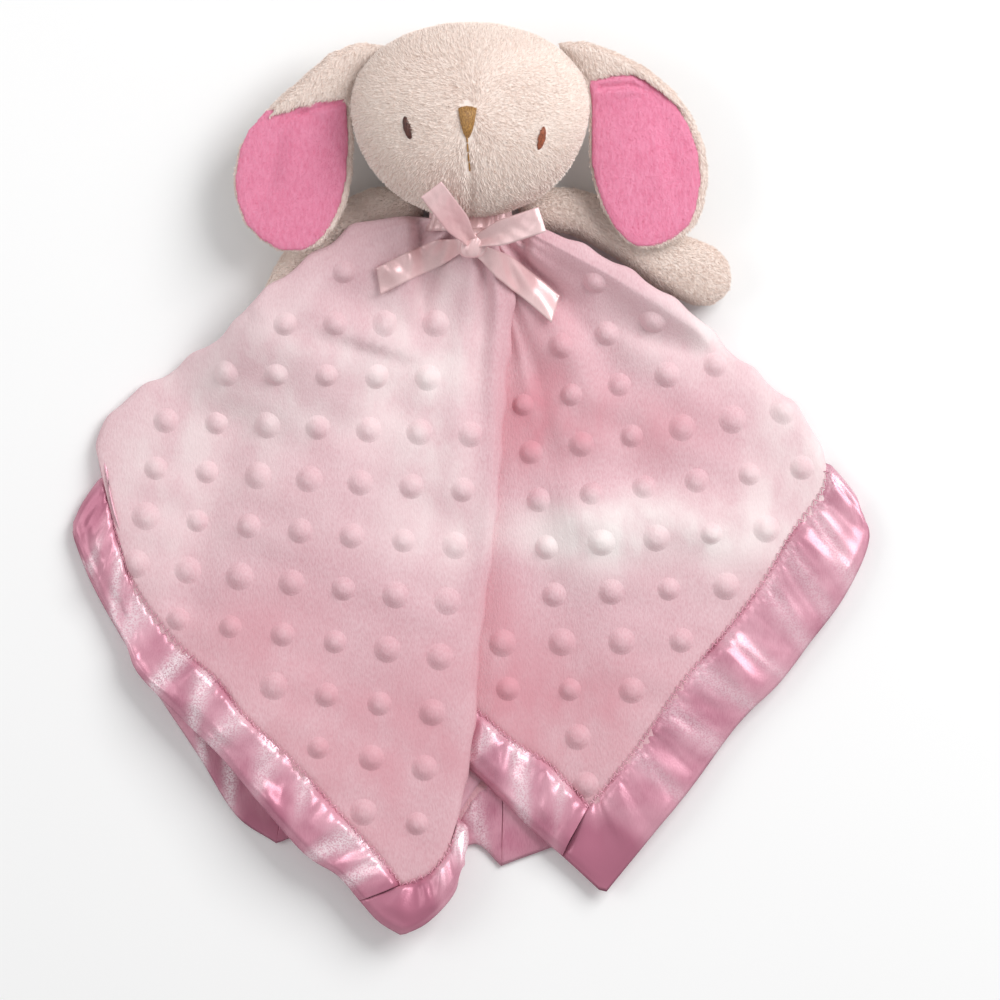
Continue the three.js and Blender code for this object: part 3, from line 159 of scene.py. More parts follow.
BACK_RIGHT_HEM = (
    (0.826, 0.46, 0.86, 0.503), (0.76, 0.585, 0.8, 0.625), (0.66, 0.7, 0.7, 0.742),
    (0.56, 0.762, 0.59, 0.828), (0.503, 0.771, 0.501, 0.866), (0.479, 0.79, 0.479, 0.845),
    (0.458, 0.821, 0.46, 0.848),
)
# The back layer's outer edge from the middle to the left fold, whose inner edge is the front's
BACK_LEFT_EDGE = (
    (0.46, 0.848), (0.452, 0.88), (0.428, 0.905), (0.404, 0.918), (0.389, 0.912),
    (0.375, 0.9), (0.352, 0.876), (0.306, 0.838), (0.276, 0.843), (0.236, 0.815),
    (0.2, 0.758), (0.158, 0.695), (0.12, 0.635), (0.09, 0.58), (0.071, 0.531),
)
BACK_LEFT_HEM = tuple(row[:2] + edge for row, edge in zip(LEFT_HEM[::-1], BACK_LEFT_EDGE))
LEFT_FOLD = (
    (0.428, 0.2185), (0.406, 0.217), (0.379, 0.2205), (0.366, 0.224), (0.349, 0.2305),
    (0.331, 0.245), (0.303, 0.264), (0.28, 0.282), (0.252, 0.304), (0.228, 0.333),
    (0.2, 0.352), (0.165, 0.377), (0.13, 0.397), (0.105, 0.425), (0.096, 0.447),
    (0.105, 0.472),
)
PLEAT_EDGE = (
    (0.512, 0.29), (0.507, 0.37), (0.495, 0.52), (0.479, 0.65), (0.476, 0.71),
    (0.467, 0.773), (0.458, 0.821),
)
PLEAT_INNER = (
    (0.462, 0.3), (0.445, 0.38), (0.41, 0.52), (0.372, 0.63),
)
RIGHT_FOLD = (
    (0.52, 0.2215), (0.536, 0.2265), (0.552, 0.233), (0.5815, 0.247), (0.611, 0.262),
    (0.648, 0.284), (0.674, 0.302), (0.7, 0.321), (0.725, 0.348), (0.768, 0.384),
    (0.8, 0.413), (0.817, 0.44), (0.826, 0.46),
)
# Where the fold lines start, across the gathered neck
NECK_STARTS = {"left": -0.5, "edge": 0.24, "inner": -0.22, "right": 0.5}
VALLEY = ((0.34, 0.3), (0.235, 0.43), (0.205, 0.52), (0.188, 0.6))
BUCKLE = ((0.51, 0.535), (0.6, 0.515), (0.7, 0.53))
PUFF = ((0.6, 0.34), (0.66, 0.36), (0.7, 0.4))
# A faint furrow down from the neck, and the hollow above the buckle
DROP = ((0.45, 0.29), (0.447, 0.4), (0.432, 0.52))
HOLLOW = ((0.525, 0.34), (0.555, 0.42), (0.62, 0.475), (0.72, 0.49))
# Where the minky is made paler or deeper: partly the pile's lay, partly painted highlight (along
# the ridge by the buckle) and painted shade (in the hollow above the buckle and towards the
# bottom). Each place, its reach across and down, and how far
NAP_AND_PAINTED_LIGHT = (
    (0.3, 0.38, 0.16, 0.08, 0.55), (0.44, 0.4, 0.05, 0.17, 0.5),
    (0.17, 0.5, 0.07, 0.1, 0.45), (0.63, 0.532, 0.16, 0.036, 1.2),
    (0.73, 0.33, 0.08, 0.055, 0.75), (0.8, 0.45, 0.06, 0.06, 0.8),
    (0.535, 0.38, 0.045, 0.11, -0.95), (0.62, 0.43, 0.12, 0.045, -0.75),
    (0.5, 0.6, 0.03, 0.09, -0.6), (0.37, 0.75, 0.15, 0.13, -0.7),
    (0.56, 0.74, 0.09, 0.07, -0.5), (0.24, 0.63, 0.09, 0.06, -0.5),
    (0.6, 0.68, 0.12, 0.06, -0.5),
)
# Where painted shade darkens the satin, as if it lay turned from the light: each place and its
# reach
PAINTED_SATIN_SHADE = (
    (0.085, 0.505, 0.035), (0.408, 0.908, 0.036), (0.265, 0.828, 0.03), (0.605, 0.855, 0.05),
)
# The paths of the arms, which the cloth lies over, with their half widths as shares of an
# arm's width
LEFT_ARM = (
    (0.412, 0.212, 0.42), (0.382, 0.216, 0.47), (0.346, 0.234, 0.5), (0.315, 0.263, 0.53),
    (0.302, 0.289, 0.57), (0.2955, 0.305, 0.58), (0.29, 0.319, 0.49), (0.287, 0.329, 0.28),
)
RIGHT_ARM = (
    (0.517, 0.212, 0.34), (0.529, 0.212, 0.42), (0.573, 0.218, 0.47), (0.621, 0.238, 0.5),
    (0.661, 0.26, 0.55), (0.687, 0.269, 0.59), (0.705, 0.275, 0.55),
)


def run_along(points: Array, extra: float = 0.0) -> Array:
    """Returns how far along a chain each of its points lies, with an extra added to each step."""
    steps = np.linalg.norm(np.diff(points, axis=0), axis=1)
    return np.concatenate([[0.0], np.cumsum(steps + extra)])


class Line:
    """A smooth line through given points, with sharp corners where it is asked for.

    Args:
        points: The points in the plan, one row each.
        corners: Places in the list where the line turns sharply.
    """

    def __init__(self, points: Array, corners: Sequence[int] = ()) -> None:
        self.points = np.asarray(points, float)
        self.sharp = np.zeros(len(self.points), bool)
        self.sharp[[0, -1, *corners]] = True
        self.fine = np.linspace(0, len(self.points) - 1, 24 * (len(self.points) - 1) + 1)
        self.lengths = run_along(self.at(self.fine))

    def at(self, place: Array) -> Array:
        """Returns points at places counted in spans from the line's start."""
        last = len(self.points) - 1
        place = np.clip(np.asarray(place, float), 0, last)
        i = np.minimum(place.astype(int), last - 1)
        f = (place - i)[..., None]
        p, q = self.points[i], self.points[i + 1]
        before = np.where(self.sharp[i][..., None], 2 * p - q, self.points[np.maximum(i - 1, 0)])
        beyond = self.points[np.minimum(i + 2, last)]
        after = np.where(self.sharp[i + 1][..., None], 2 * q - p, beyond)
        curve = (2 * before - 5 * p + 4 * q - after) * f + (3 * p - before - 3 * q + after) * f * f
        return p + 0.5 * f * (q - before + curve)

    def share(self, share: Array) -> Array:
        """Returns points at shares of the line's length."""
        want = np.clip(share, 0.0, 1.0) * self.lengths[-1]
        return self.at(np.interp(want, self.lengths, self.fine))


def nearest(line: Array, x: Array, y: Array) -> tuple[Array, Array]:
    """Returns how far places are from a chain of points, and where along it they are nearest."""
    best = np.full(np.shape(x), np.inf)
    share = np.zeros(np.shape(x))
    for i in range(len(line) - 1):
        (ax, ay), (bx, by) = line[i][:2], line[i + 1][:2]
        dx, dy = bx - ax, by - ay
        t = np.clip(((x - ax) * dx + (y - ay) * dy) / (dx * dx + dy * dy), 0, 1)
        far = np.hypot(x - ax - dx * t, y - ay - dy * t)
        closer = far < best
        best = np.where(closer, far, best)
        share = np.where(closer, i + t, share)
    return best, share


# Meshes and materials


def mesh_object(name: str, points: Array, faces: Sequence) -> bpy.types.Object:
    """Makes an object at the origin from points and faces.

    Args:
        name: The piece's name.
        points: One row for each vertex.
        faces: Vertex numbers for each face.

    Returns:
        The new object, shaded smooth.
    """
    mesh = bpy.data.meshes.new(name)
    mesh.from_pydata(np.asarray(points).tolist(), [], [tuple(map(int, f)) for f in faces])
    mesh.validate()
    mesh.shade_smooth()
    obj = bpy.data.objects.new(name, mesh)
    bpy.context.scene.collection.objects.link(obj)
    return obj


def grid_faces(columns: int, rows: int, around: bool) -> list[tuple[int, ...]]:
    """Returns the faces of a grid whose vertices run column by column."""
    faces = []
    for i in range(columns if around else columns - 1):
        a, b = i * rows, ((i + 1) % columns) * rows
        faces += [(a + k, b + k, b + k + 1, a + k + 1) for k in range(rows - 1)]
    return faces


def tube_faces(rings: int, sides: int, first: int = 0) -> list[tuple[int, ...]]:
    """Returns the faces round a tube whose vertices run ring by ring, from a first one on."""
    faces = []
    for k in range(rings - 1):
        a, b = first + k * sides, first + (k + 1) * sides
        for n in range(sides):
            m = (n + 1) % sides
            faces.append((a + n, b + n, b + m, a + m))
    return faces


def grid_normals(points: Array, around: bool) -> Array:
    """Returns the unit normals of a grid of points, columns first."""
    if around:
        across = np.roll(points, -1, 0) - np.roll(points, 1, 0)
    else:
        across = np.gradient(points, axis=0)
    return unit(np.cross(across, np.gradient(points, axis=1)))


def apply_modifiers(obj: bpy.types.Object) -> None:
    """Bakes an object's modifiers into its mesh and removes them."""
    graph = bpy.context.evaluated_depsgraph_get()
    baked = bpy.data.meshes.new_from_object(obj.evaluated_get(graph))
    obj.modifiers.clear()
    old = obj.data
    obj.data = baked
    bpy.data.meshes.remove(old)


def thicken(obj: bpy.types.Object, depth: float, offset: float = -1.0) -> None:
    """Gives an open cloth its thickness and closes it."""
    solid = obj.modifiers.new("thickness", "SOLIDIFY")
    solid.thickness = depth
    solid.offset = offset
    apply_modifiers(obj)
    obj.data.shade_smooth()


def blurred(obj: bpy.types.Object, rounds: int, share: float = 0.5) -> None:
    """Evens out a mesh's surface."""
    smooth = obj.modifiers.new("even", "SMOOTH")
    smooth.iterations = rounds
    smooth.factor = share
    apply_modifiers(obj)


def remeshed(obj: bpy.types.Object, voxel: float) -> None:
    """Gives a closed mesh a skin of small even faces."""
    even = obj.modifiers.new("even", "REMESH")
    even.mode = "VOXEL"
    even.voxel_size = voxel
    apply_modifiers(obj)


def divided(obj: bpy.types.Object) -> None:
    """Divides a mesh's faces once and rounds them off."""
    finer = obj.modifiers.new("finer", "SUBSURF")
    finer.levels = finer.render_levels = 1
    apply_modifiers(obj)


def places_of(obj: bpy.types.Object) -> Array:
    """Returns the places of a mesh's vertices, one row each."""
    places = np.zeros(len(obj.data.vertices) * 3)
    obj.data.vertices.foreach_get("co", places)
    return places.reshape(-1, 3)


def normals_of(obj: bpy.types.Object) -> Array:
    """Returns the normals of a mesh's vertices, one row each."""
    normals = np.zeros(len(obj.data.vertices) * 3)
    obj.data.vertex_normals.foreach_get("vector", normals)
    return normals.reshape(-1, 3)


def move_to(obj: bpy.types.Object, places: Array) -> None:
    """Moves a mesh's vertices to new places."""
    obj.data.vertices.foreach_set("co", places.ravel())
    obj.data.update()


def store(obj: bpy.types.Object, name: str, values: Sequence, vector: bool = False) -> None:
    """Stores a number, or a vector, for each vertex as a named attribute."""
    kind, key = ("FLOAT_VECTOR", "vector") if vector else ("FLOAT", "value")
    stored = obj.data.attributes.new(name, kind, "POINT")
    stored.data.foreach_set(key, np.array(values).ravel())


def fit_to(obj: bpy.types.Object, low: Vector, high: Vector) -> None:
    """Stretches a mesh slightly so that it fills a box exactly."""
    points = places_of(obj)
    here_low, here_high = points.min(0), points.max(0)
    share = (np.array(high) - np.array(low)) / (here_high - here_low)
    move_to(obj, (points - here_low) * share + np.array(low))


class Wiring:
    """A node tree with short calls to add to it.

    Args:
        tree: The tree of a material or of a geometry group.
    """

    def __init__(self, tree: bpy.types.NodeTree) -> None:
        self.tree = tree

    def feed(self, node: bpy.types.Node, inputs: dict) -> bpy.types.Node:
        """Gives a node's named or numbered inputs a socket's value or a plain one."""
        for key, source in inputs.items():
            if isinstance(source, bpy.types.NodeSocket):
                self.tree.links.new(source, node.inputs[key])
            else:
                node.inputs[key].default_value = source
        return node

    def add(self, kind: str, inputs: dict | None = None, **settings: str) -> bpy.types.Node:
        """Adds a node with its settings and feeds its inputs."""
        node = self.tree.nodes.new(kind)
        for key, value in settings.items():
            setattr(node, key, value)
        return self.feed(node, inputs or {})

    def times(self, a: Feed, b: Feed) -> Socket:
        """Returns the product of two values, each a socket or a number."""
        return self.add("ShaderNodeMath", {0: a, 1: b}, operation="MULTIPLY").outputs[0]


class Nodes(Wiring):
    """A material's node tree, with the steps that the finishes share."""

    def __init__(self, name: str) -> None:
        self.material = bpy.data.materials.new(name)
        self.material.use_nodes = True
        super().__init__(self.material.node_tree)
        self.shader = self.tree.nodes["Principled BSDF"]
        self.place = self.add("ShaderNodeTexCoord").outputs["Object"]

    def stretched(self, scale: tuple[float, float, float], turn: float = 0.0) -> Socket:
        """Returns object coordinates scaled on each axis, after a turn about +Z."""
        inputs = {"Scale": scale, "Rotation": (0.0, 0.0, turn), "Vector": self.place}
        return self.add("ShaderNodeMapping", inputs).outputs["Vector"]

    def noise(self, scale: float, detail: float = 3.0, place: Socket | None = None) -> Socket:
        """Returns a noise's value."""
        inputs = {"Scale": scale, "Detail": detail, "Vector": place or self.place}
        return self.add("ShaderNodeTexNoise", inputs).outputs["Fac"]

    def ramp(self, value: Socket, stops: Sequence[tuple[float, Colour]]) -> Socket:
        """Returns a colour that follows a value."""
        node = self.add("ShaderNodeValToRGB", {"Fac": value})
        element = node.color_ramp.elements
        while len(element) < len(stops):
            element.new(0.5)
        for part, (place, colour) in zip(element, stops):
            part.position = place
            part.color = (*colour, 1.0)
        return node.outputs["Color"]

    def blend(self, value: Feed, a: Feed, b: Feed) -> Socket:
        """Returns two colours mixed by a value, each of the three a socket or plain."""
        a, b = ((*colour, 1.0) if isinstance(colour, tuple) else colour for colour in (a, b))
        return self.add("ShaderNodeMix", {0: value, 6: a, 7: b}, data_type="RGBA").outputs[2]

    def bump(
        self, value: Socket, depth: float, strength: float = 1.0, before: Socket | None = None
    ) -> Socket:
        """Returns a normal roughened by a value, over an earlier one where it is given."""
        inputs = {"Distance": depth, "Strength": strength, "Height": value}
        if before is not None:
            inputs["Normal"] = before
        return self.add("ShaderNodeBump", inputs).outputs["Normal"]

    def attribute(self, name: str) -> Socket:
        """Returns a float stored on the mesh."""
        return self.add("ShaderNodeAttribute", attribute_name=name).outputs["Fac"]

    def finish(self, inputs: dict) -> bpy.types.Material:
        """Feeds the shader and returns the material."""
        self.feed(self.shader, inputs)
        return self.material


def srgb(red: int, green: int, blue: int) -> Colour:
    """Returns the linear colour of an everyday 0 to 255 one."""
    return tuple(
        c / 12.92 if c <= 0.04045 else ((c + 0.055) / 1.055) ** 2.4
        for c in (v / 255 for v in (red, green, blue))
    )


@dataclass(frozen=True)
class PlushFinish:
    """Short pile: its colour, the colour of its depths and how far it sheens."""

    name: str
    tip: Colour
    root: Colour
    sheen: float
    streak: float = 900.0
    # Pale and deep colours of the mottle: painted highlight and painted shade, partly also the
    # pile's lay
    brushed_and_lit: Colour = (1.0, 1.0, 1.0)
    pressed_and_shaded: Colour = (1.0, 1.0, 1.0)
    mottle_and_painted_light: bool = False

    def material(self) -> bpy.types.Material:
        """Returns the pile's material."""
        n = Nodes(self.name)
        fine = n.noise(self.streak, 4.0, n.stretched((1.0, 0.35, 1.0)))
        broad = n.noise(60.0, 2.0)
        colour = n.ramp(fine, ((0.3, self.root), (0.62, self.tip)))
        colour = n.blend(0.3, colour, n.ramp(broad, ((0.35, self.root), (0.65, self.tip))))
        # Painted highlight and shade, with the pile's lay: the patchy mottle leans to the pale
        # colour where the stored share is above zero, and to the deep colour where it is below
        if self.mottle_and_painted_light:
            lay = n.noise(70.0, 4.0, n.stretched((1.0, 0.6, 1.0), 0.5))
            patchy = n.ramp(lay, ((0.38, (0.4,) * 3), (0.6, (1.0,) * 3)))
            share = n.times(patchy, n.attribute("brushed_and_lit"))
            colour = n.blend(share, colour, self.brushed_and_lit)
            colour = n.blend(n.times(share, -1.0), colour, self.pressed_and_shaded)
        return n.finish(
            {
                "Base Color": colour,
                "Normal": n.bump(fine, 0.4 * MM, 0.5),
                "Roughness": 0.95,
                "Sheen Weight": self.sheen,
                "Sheen Roughness": 0.5,
                "Sheen Tint": (*self.tip, 1.0),
            }
        )


@dataclass(frozen=True)
class SatinFinish:
    """Glossy woven satin."""

    name: str
    lit: Colour
    deep: Colour
    roughness: float = 0.34
    weave: float = 5200.0
    # Colour of the painted glint that speckles the painted highlight bands
    painted_glint: Colour | None = None
    # Colour of the painted shade where the stored bands fall below zero
    turned: Colour = (1.0, 1.0, 1.0)

    def material(self) -> bpy.types.Material:
        """Returns the satin's material."""
        n = Nodes(self.name)
        thread = n.noise(self.weave, 2.0, n.stretched((1.0, 0.08, 1.0), 0.6))
        broad = n.noise(52.0, 3.0)
        colour = n.ramp(broad, ((0.36, self.deep), (0.62, self.lit)))
        colour = n.blend(0.25, colour, n.ramp(thread, ((0.35, self.deep), (0.6, self.lit))))
        # Painted highlight: a fine glint laid over the stored bands where they are bright
        if self.painted_glint:
            grain = n.ramp(n.noise(1700.0, 2.0), ((0.4, (0.3,) * 3), (0.56, (1.0,) * 3)))
            painted_sheen = n.attribute("painted_sheen")
            colour = n.blend(n.times(grain, painted_sheen), colour, self.painted_glint)
            # Painted shade where the stored bands fall below zero
            colour = n.blend(n.times(painted_sheen, -1.0), colour, self.turned)
        rough = n.bump(n.noise(1500.0, 3.0), 0.08 * MM, 0.4)
        return n.finish(
            {
                "Base Color": colour,
                "Normal": n.bump(thread, 0.05 * MM, 0.5, rough),
                "Roughness": self.roughness,
                "Metallic": 0.2,
                "Specular IOR Level": 0.8,
                "Specular Tint": (*srgb(255, 236, 242), 1.0),
            }
        )


@dataclass(frozen=True)
class ThreadFinish:
    """Embroidery thread, twisted along its length."""

    name: str
    lit: Colour
    deep: Colour

    def material(self) -> bpy.types.Material:
        """Returns the thread's material."""
        n = Nodes(self.name)
        twist = n.noise(2600.0, 2.0, n.stretched((1.0, 0.5, 1.0), 0.9))
        colour = n.ramp(twist, ((0.35, self.deep), (0.65, self.lit)))
        normal = n.bump(twist, 0.08 * MM, 0.6)
        return n.finish({"Base Color": colour, "Normal": normal, "Roughness": 0.42})


class Slot(Enum):
    """The record's material slots."""

    MINKY = "minky"
    LINING = "lining_satin"
    BINDING = "binding_satin"
    BOW = "bow_satin"
    PLUSH = "plush"
    EAR = "ear_lining"
    GOLD = "gold_thread"
    DARK = "dark_thread"
    RUSSET = "russet_thread"


FINISHES = {
    Slot.MINKY: PlushFinish(
        "minky",
        tip=srgb(229, 192, 199),
        root=srgb(214, 166, 175),
        sheen=0.3,
        streak=1900.0,
        # Pale colour for painted highlight and deep colour for painted shade, partly also the
        # pile's lay
        brushed_and_lit=srgb(247, 235, 234),
        pressed_and_shaded=srgb(214, 146, 158),
        mottle_and_painted_light=True,
    ),
    Slot.LINING: SatinFinish("lining satin", srgb(234, 186, 198), srgb(208, 148, 166)),
    Slot.BINDING: SatinFinish(
        "binding satin",
        lit=srgb(232, 172, 189),
        deep=srgb(188, 114, 138),
        roughness=0.33,
        # A painted glint colour and a painted shade colour
        painted_glint=srgb(255, 238, 243),
        turned=srgb(186, 112, 136),
    ),
    Slot.BOW: SatinFinish("bow satin", srgb(242, 210, 210), srgb(224, 182, 184), 0.34, 4200.0),
    Slot.PLUSH: PlushFinish("ivory plush", srgb(247, 234, 226), srgb(239, 222, 213), 0.35),
    Slot.EAR: PlushFinish("pink ear plush", srgb(240, 156, 186), srgb(230, 134, 166), 0.3),
    Slot.GOLD: ThreadFinish("gold thread", srgb(186, 140, 78), srgb(132, 92, 46)),
    Slot.DARK: ThreadFinish("dark thread", srgb(104, 58, 48), srgb(60, 32, 28)),
    Slot.RUSSET: ThreadFinish("russet thread", srgb(176, 98, 64), srgb(112, 58, 40)),
}


class Shop:
    """Hands out one material for each slot and places the finished pieces."""

    def __init__(self) -> None:
        self.materials: dict[Slot, bpy.types.Material] = {}

    def material(self, slot: Slot) -> bpy.types.Material:
        """Returns a slot's material, made the first time it is asked for."""
        if slot not in self.materials:
            self.materials[slot] = FINISHES[slot].material()
        return self.materials[slot]

    def place(self, obj: bpy.types.Object, body: str, slot: Slot, *nodes: str) -> bpy.types.Object:
        """Gives a piece its material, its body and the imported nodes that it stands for."""
        obj.data.materials.clear()
        obj.data.materials.append(self.material(slot))
        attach(obj, body)
        if nodes:
            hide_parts(*nodes)
        return obj


class GeometryTree(Wiring):
    """A geometry node group with named inputs, run once on a piece and then baked.

    Args:
        name: The group's name.
        inputs: The kind of each named input besides the geometry.
    """

    def __init__(self, name: str, **inputs: str) -> None:
        super().__init__(bpy.data.node_groups.new(name, "GeometryNodeTree"))
        self.socket("Geometry", "Geometry")
        self.socket("Geometry", "Geometry", "OUTPUT")
        self.start = self.add("NodeGroupInput")
        self.end = self.add("NodeGroupOutput")
        for title, kind in inputs.items():
            self.socket(title, kind)

    def socket(self, name: str, kind: str, way: str = "INPUT") -> None:
        """Adds a named input, or an output."""
        self.tree.interface.new_socket(name, in_out=way, socket_type=f"NodeSocket{kind}")

    def named(self, name: str, kind: str = "FLOAT_VECTOR") -> Socket:
        """Returns an attribute stored on the mesh."""
        node = self.add("GeometryNodeInputNamedAttribute", {"Name": name}, data_type=kind)
        return node.outputs["Attribute"]

    def plus(self, a: Socket, b: Socket) -> Socket:
        """Returns the sum of two vectors."""
        return self.add("ShaderNodeVectorMath", {0: a, 1: b}, operation="ADD").outputs[0]

    def scaled(self, vector: Socket, factor: Socket) -> Socket:
        """Returns a vector times a number."""
        inputs = {0: vector, "Scale": factor}
        return self.add("ShaderNodeVectorMath", inputs, operation="SCALE").outputs[0]

    def between(self, low: Feed, high: Feed) -> Socket:
        """Returns a random number for each point, by the seed that the group is given."""
        inputs = {2: low, 3: high, "Seed": self.start.outputs["Seed"]}
        return self.add("FunctionNodeRandomValue", inputs, data_type="FLOAT").outputs[1]

    def copies(self, shape: str, points: Socket, rotation: Socket, scale: Socket) -> Socket:
        """Returns copies of the object that a named input holds, one on every point."""
        source = self.add("GeometryNodeObjectInfo", {"Object": self.start.outputs[shape]})
        inputs = {
            "Points": points,
            "Instance": source.outputs["Geometry"],
            "Rotation": rotation,
            "Scale": scale,
        }
        return self.add("GeometryNodeInstanceOnPoints", inputs).outputs[0]

    def close(self, geometry: Socket) -> None:
        """Makes copies real, gives them the material and hands them on."""
        real = self.add("GeometryNodeRealizeInstances", {0: geometry})
        inputs = {"Geometry": real.outputs[0], "Material": self.start.outputs["Material"]}
        painted = self.add("GeometryNodeSetMaterial", inputs)
        self.feed(self.end, {0: painted.outputs[0]})

    def run(self, obj: bpy.types.Object, **values: object) -> None:
        """Runs the group on an object with values for its named inputs, and bakes the result."""
        modifier = obj.modifiers.new(self.tree.name, "NODES")
        modifier.node_group = self.tree
        for item in self.tree.interface.items_tree:
            key = item.name.lower()
            if item.item_type == "SOCKET" and item.in_out == "INPUT" and key in values:
                modifier[item.identifier] = values[key]
        apply_modifiers(obj)


def scatter_tree() -> GeometryTree:
    """Returns the group that covers a surface with blades of pile, combed along an attribute."""
    tree = GeometryTree(
        "pile", Blade="Object", Density="Float", Lean="Float", Seed="Int", Material="Material"
    )
    begin = tree.start.outputs
    points = tree.add(
        "GeometryNodeDistributePointsOnFaces",
        {"Mesh": begin["Geometry"], "Density": begin["Density"], "Seed": begin["Seed"]},
    )
    stray = tree.add(
        "FunctionNodeRandomValue",
        {0: (-0.45, -0.45, -0.45), 1: (0.45, 0.45, 0.45), "Seed": begin["Seed"]},
        data_type="FLOAT_VECTOR",
    )
    way = tree.plus(points.outputs["Normal"], tree.scaled(tree.named("comb"), begin["Lean"]))
    loose = tree.plus(way, stray.outputs[0])
    turn = tree.add("FunctionNodeAlignRotationToVector", {"Vector": loose}, axis="Z")
    spin = {"Axis": (0.0, 0.0, 1.0), "Angle": tree.between(0.0, math.tau)}
    around = tree.add("FunctionNodeAxisAngleToRotation", spin)
    both = tree.add(
        "FunctionNodeRotateRotation",
        {0: turn.outputs[0], 1: around.outputs[0]},
        rotation_space="LOCAL",
    )
    size = tree.between(0.65, 1.15)
    tree.close(tree.copies("Blade", points.outputs["Points"], both.outputs[0], size))
    return tree


def copies_tree() -> GeometryTree:
    """Returns the group that puts a copy of one shape on every vertex, turned by its attributes.

    Each vertex holds the copy's upward way as "up" and its lengthwise way as "along".
    """
    tree = GeometryTree("copies", Shape="Object", Spread="Float", Seed="Int", Material="Material")
    begin = tree.start.outputs
    points = tree.add("GeometryNodeMeshToPoints", {0: begin["Geometry"]})
    turn = tree.add(
        "FunctionNodeAxesToRotation",
        {0: tree.named("up"), 1: tree.named("along")},
        primary_axis="Z",
        secondary_axis="X",
    )
    spread = {0: 1.0, 1: begin["Spread"]}
    low = tree.add("ShaderNodeMath", spread, operation="SUBTRACT")
    high = tree.add("ShaderNodeMath", spread, operation="ADD")
    size = tree.between(low.outputs[0], high.outputs[0])
    tree.close(tree.copies("Shape", points.outputs[0], turn.outputs[0], size))
    return tree


def raised_tree() -> GeometryTree:
    """Returns the group that puts a flat shape on every vertex and raises it out of a cloth.

    Each vertex holds the copy's upward way as "up" and its lengthwise way as "along". The shape
    holds each point's height over the cloth as "high", so that the copy follows the cloth's form.
    """
    tree = copies_tree()
    tree.tree.name = "raised copies"
    tree.socket("Cloth", "Object")
    painted = tree.end.inputs[0].links[0].from_node
    cloth = tree.add("GeometryNodeObjectInfo", {"Object": tree.start.outputs["Cloth"]})
    form = {0: cloth.outputs["Geometry"]}
    near = tree.add("GeometryNodeProximity", form, target_element="FACES")
    inputs = {
        "Geometry": painted.outputs[0],
        "Position": near.outputs["Position"],
        "Offset": tree.scaled(tree.named("up"), tree.named("high", "FLOAT")),
    }
    tree.close(tree.add("GeometryNodeSetPosition", inputs).outputs[0])
    return tree


# The blanket


@dataclass(frozen=True)
class ClothSizes:
    """The blanket's thicknesses and levels."""

    side: float = 356 * MM
    binding_shown: float = 25 * MM
    binding_lap: float = 5 * MM
    minky: float = 1.4 * MM
    lining: float = 0.6 * MM
    satin: float = 0.35 * MM
    ply_gap: float = 0.4 * MM
    layer_gap: float = 0.6 * MM
    loft: float = 3.4 * MM
    valley: float = 4.4 * MM
    ridge: float = 3.2 * MM
    fold_round: float = 3.2 * MM
    neck_width: float = 27 * MM
    neck_rise: float = 8.5 * MM
    neck_swell: float = 6.5 * MM
    arm_width: float = 20 * MM
    arm_top: float = 16.6 * MM
    cover_start: float = 13 * MM
    cover_ramp: float = 9 * MM
    crease_reach: float = 19 * MM
    crease: float = 1.3 * MM
    dot_step: float = 18.5 * MM
    crease_wide: float = 8 * MM
    pitch: float = 2.1 * MM

    @property
    def ply(self) -> float:
        """The thickness of the minky and its lining together."""
        return self.minky + self.ply_gap + self.lining

    @property
    def right_level(self) -> float:
        """The height of the right front layer's face."""
        return self.ply * 2 + self.layer_gap

    @property
    def under_level(self) -> float:
        """The height of the tucked layer's face."""
        return self.right_level + self.layer_gap

    @property
    def left_level(self) -> float:
        """The height of the left front layer's face."""
        return self.under_level + self.ply * 2 + self.layer_gap


@dataclass
class Patch:
    """One flat stretch of the folded cloth, between two fold lines, the neck and the hem.

    Args:
        first: The fold line where it starts.
        last: The fold line where it ends.
        inner: The line of stitches along the hem.
        outer: The satin's outer edge.
        marks: How far along the hem each row of its table lies, from 0 to 1.
        height: Gives the cloth's height over its level at places, columns and rows.
        front: Whether it faces up.
        folded: Whether the cloth turns round a fold at its start and at its end.
    """

    first: Line
    last: Line
    inner: Line
    outer: Line
    marks: Array
    height: Callable[[Array, Array, Value, Array], Array]
    front: bool
    folded: tuple[bool, bool] = (True, True)


@dataclass
class Column:
    """A run of cloth from the neck to the hem: its places in its patch, or round a fold."""

    patch: int
    share: float
    bend: float | None = None


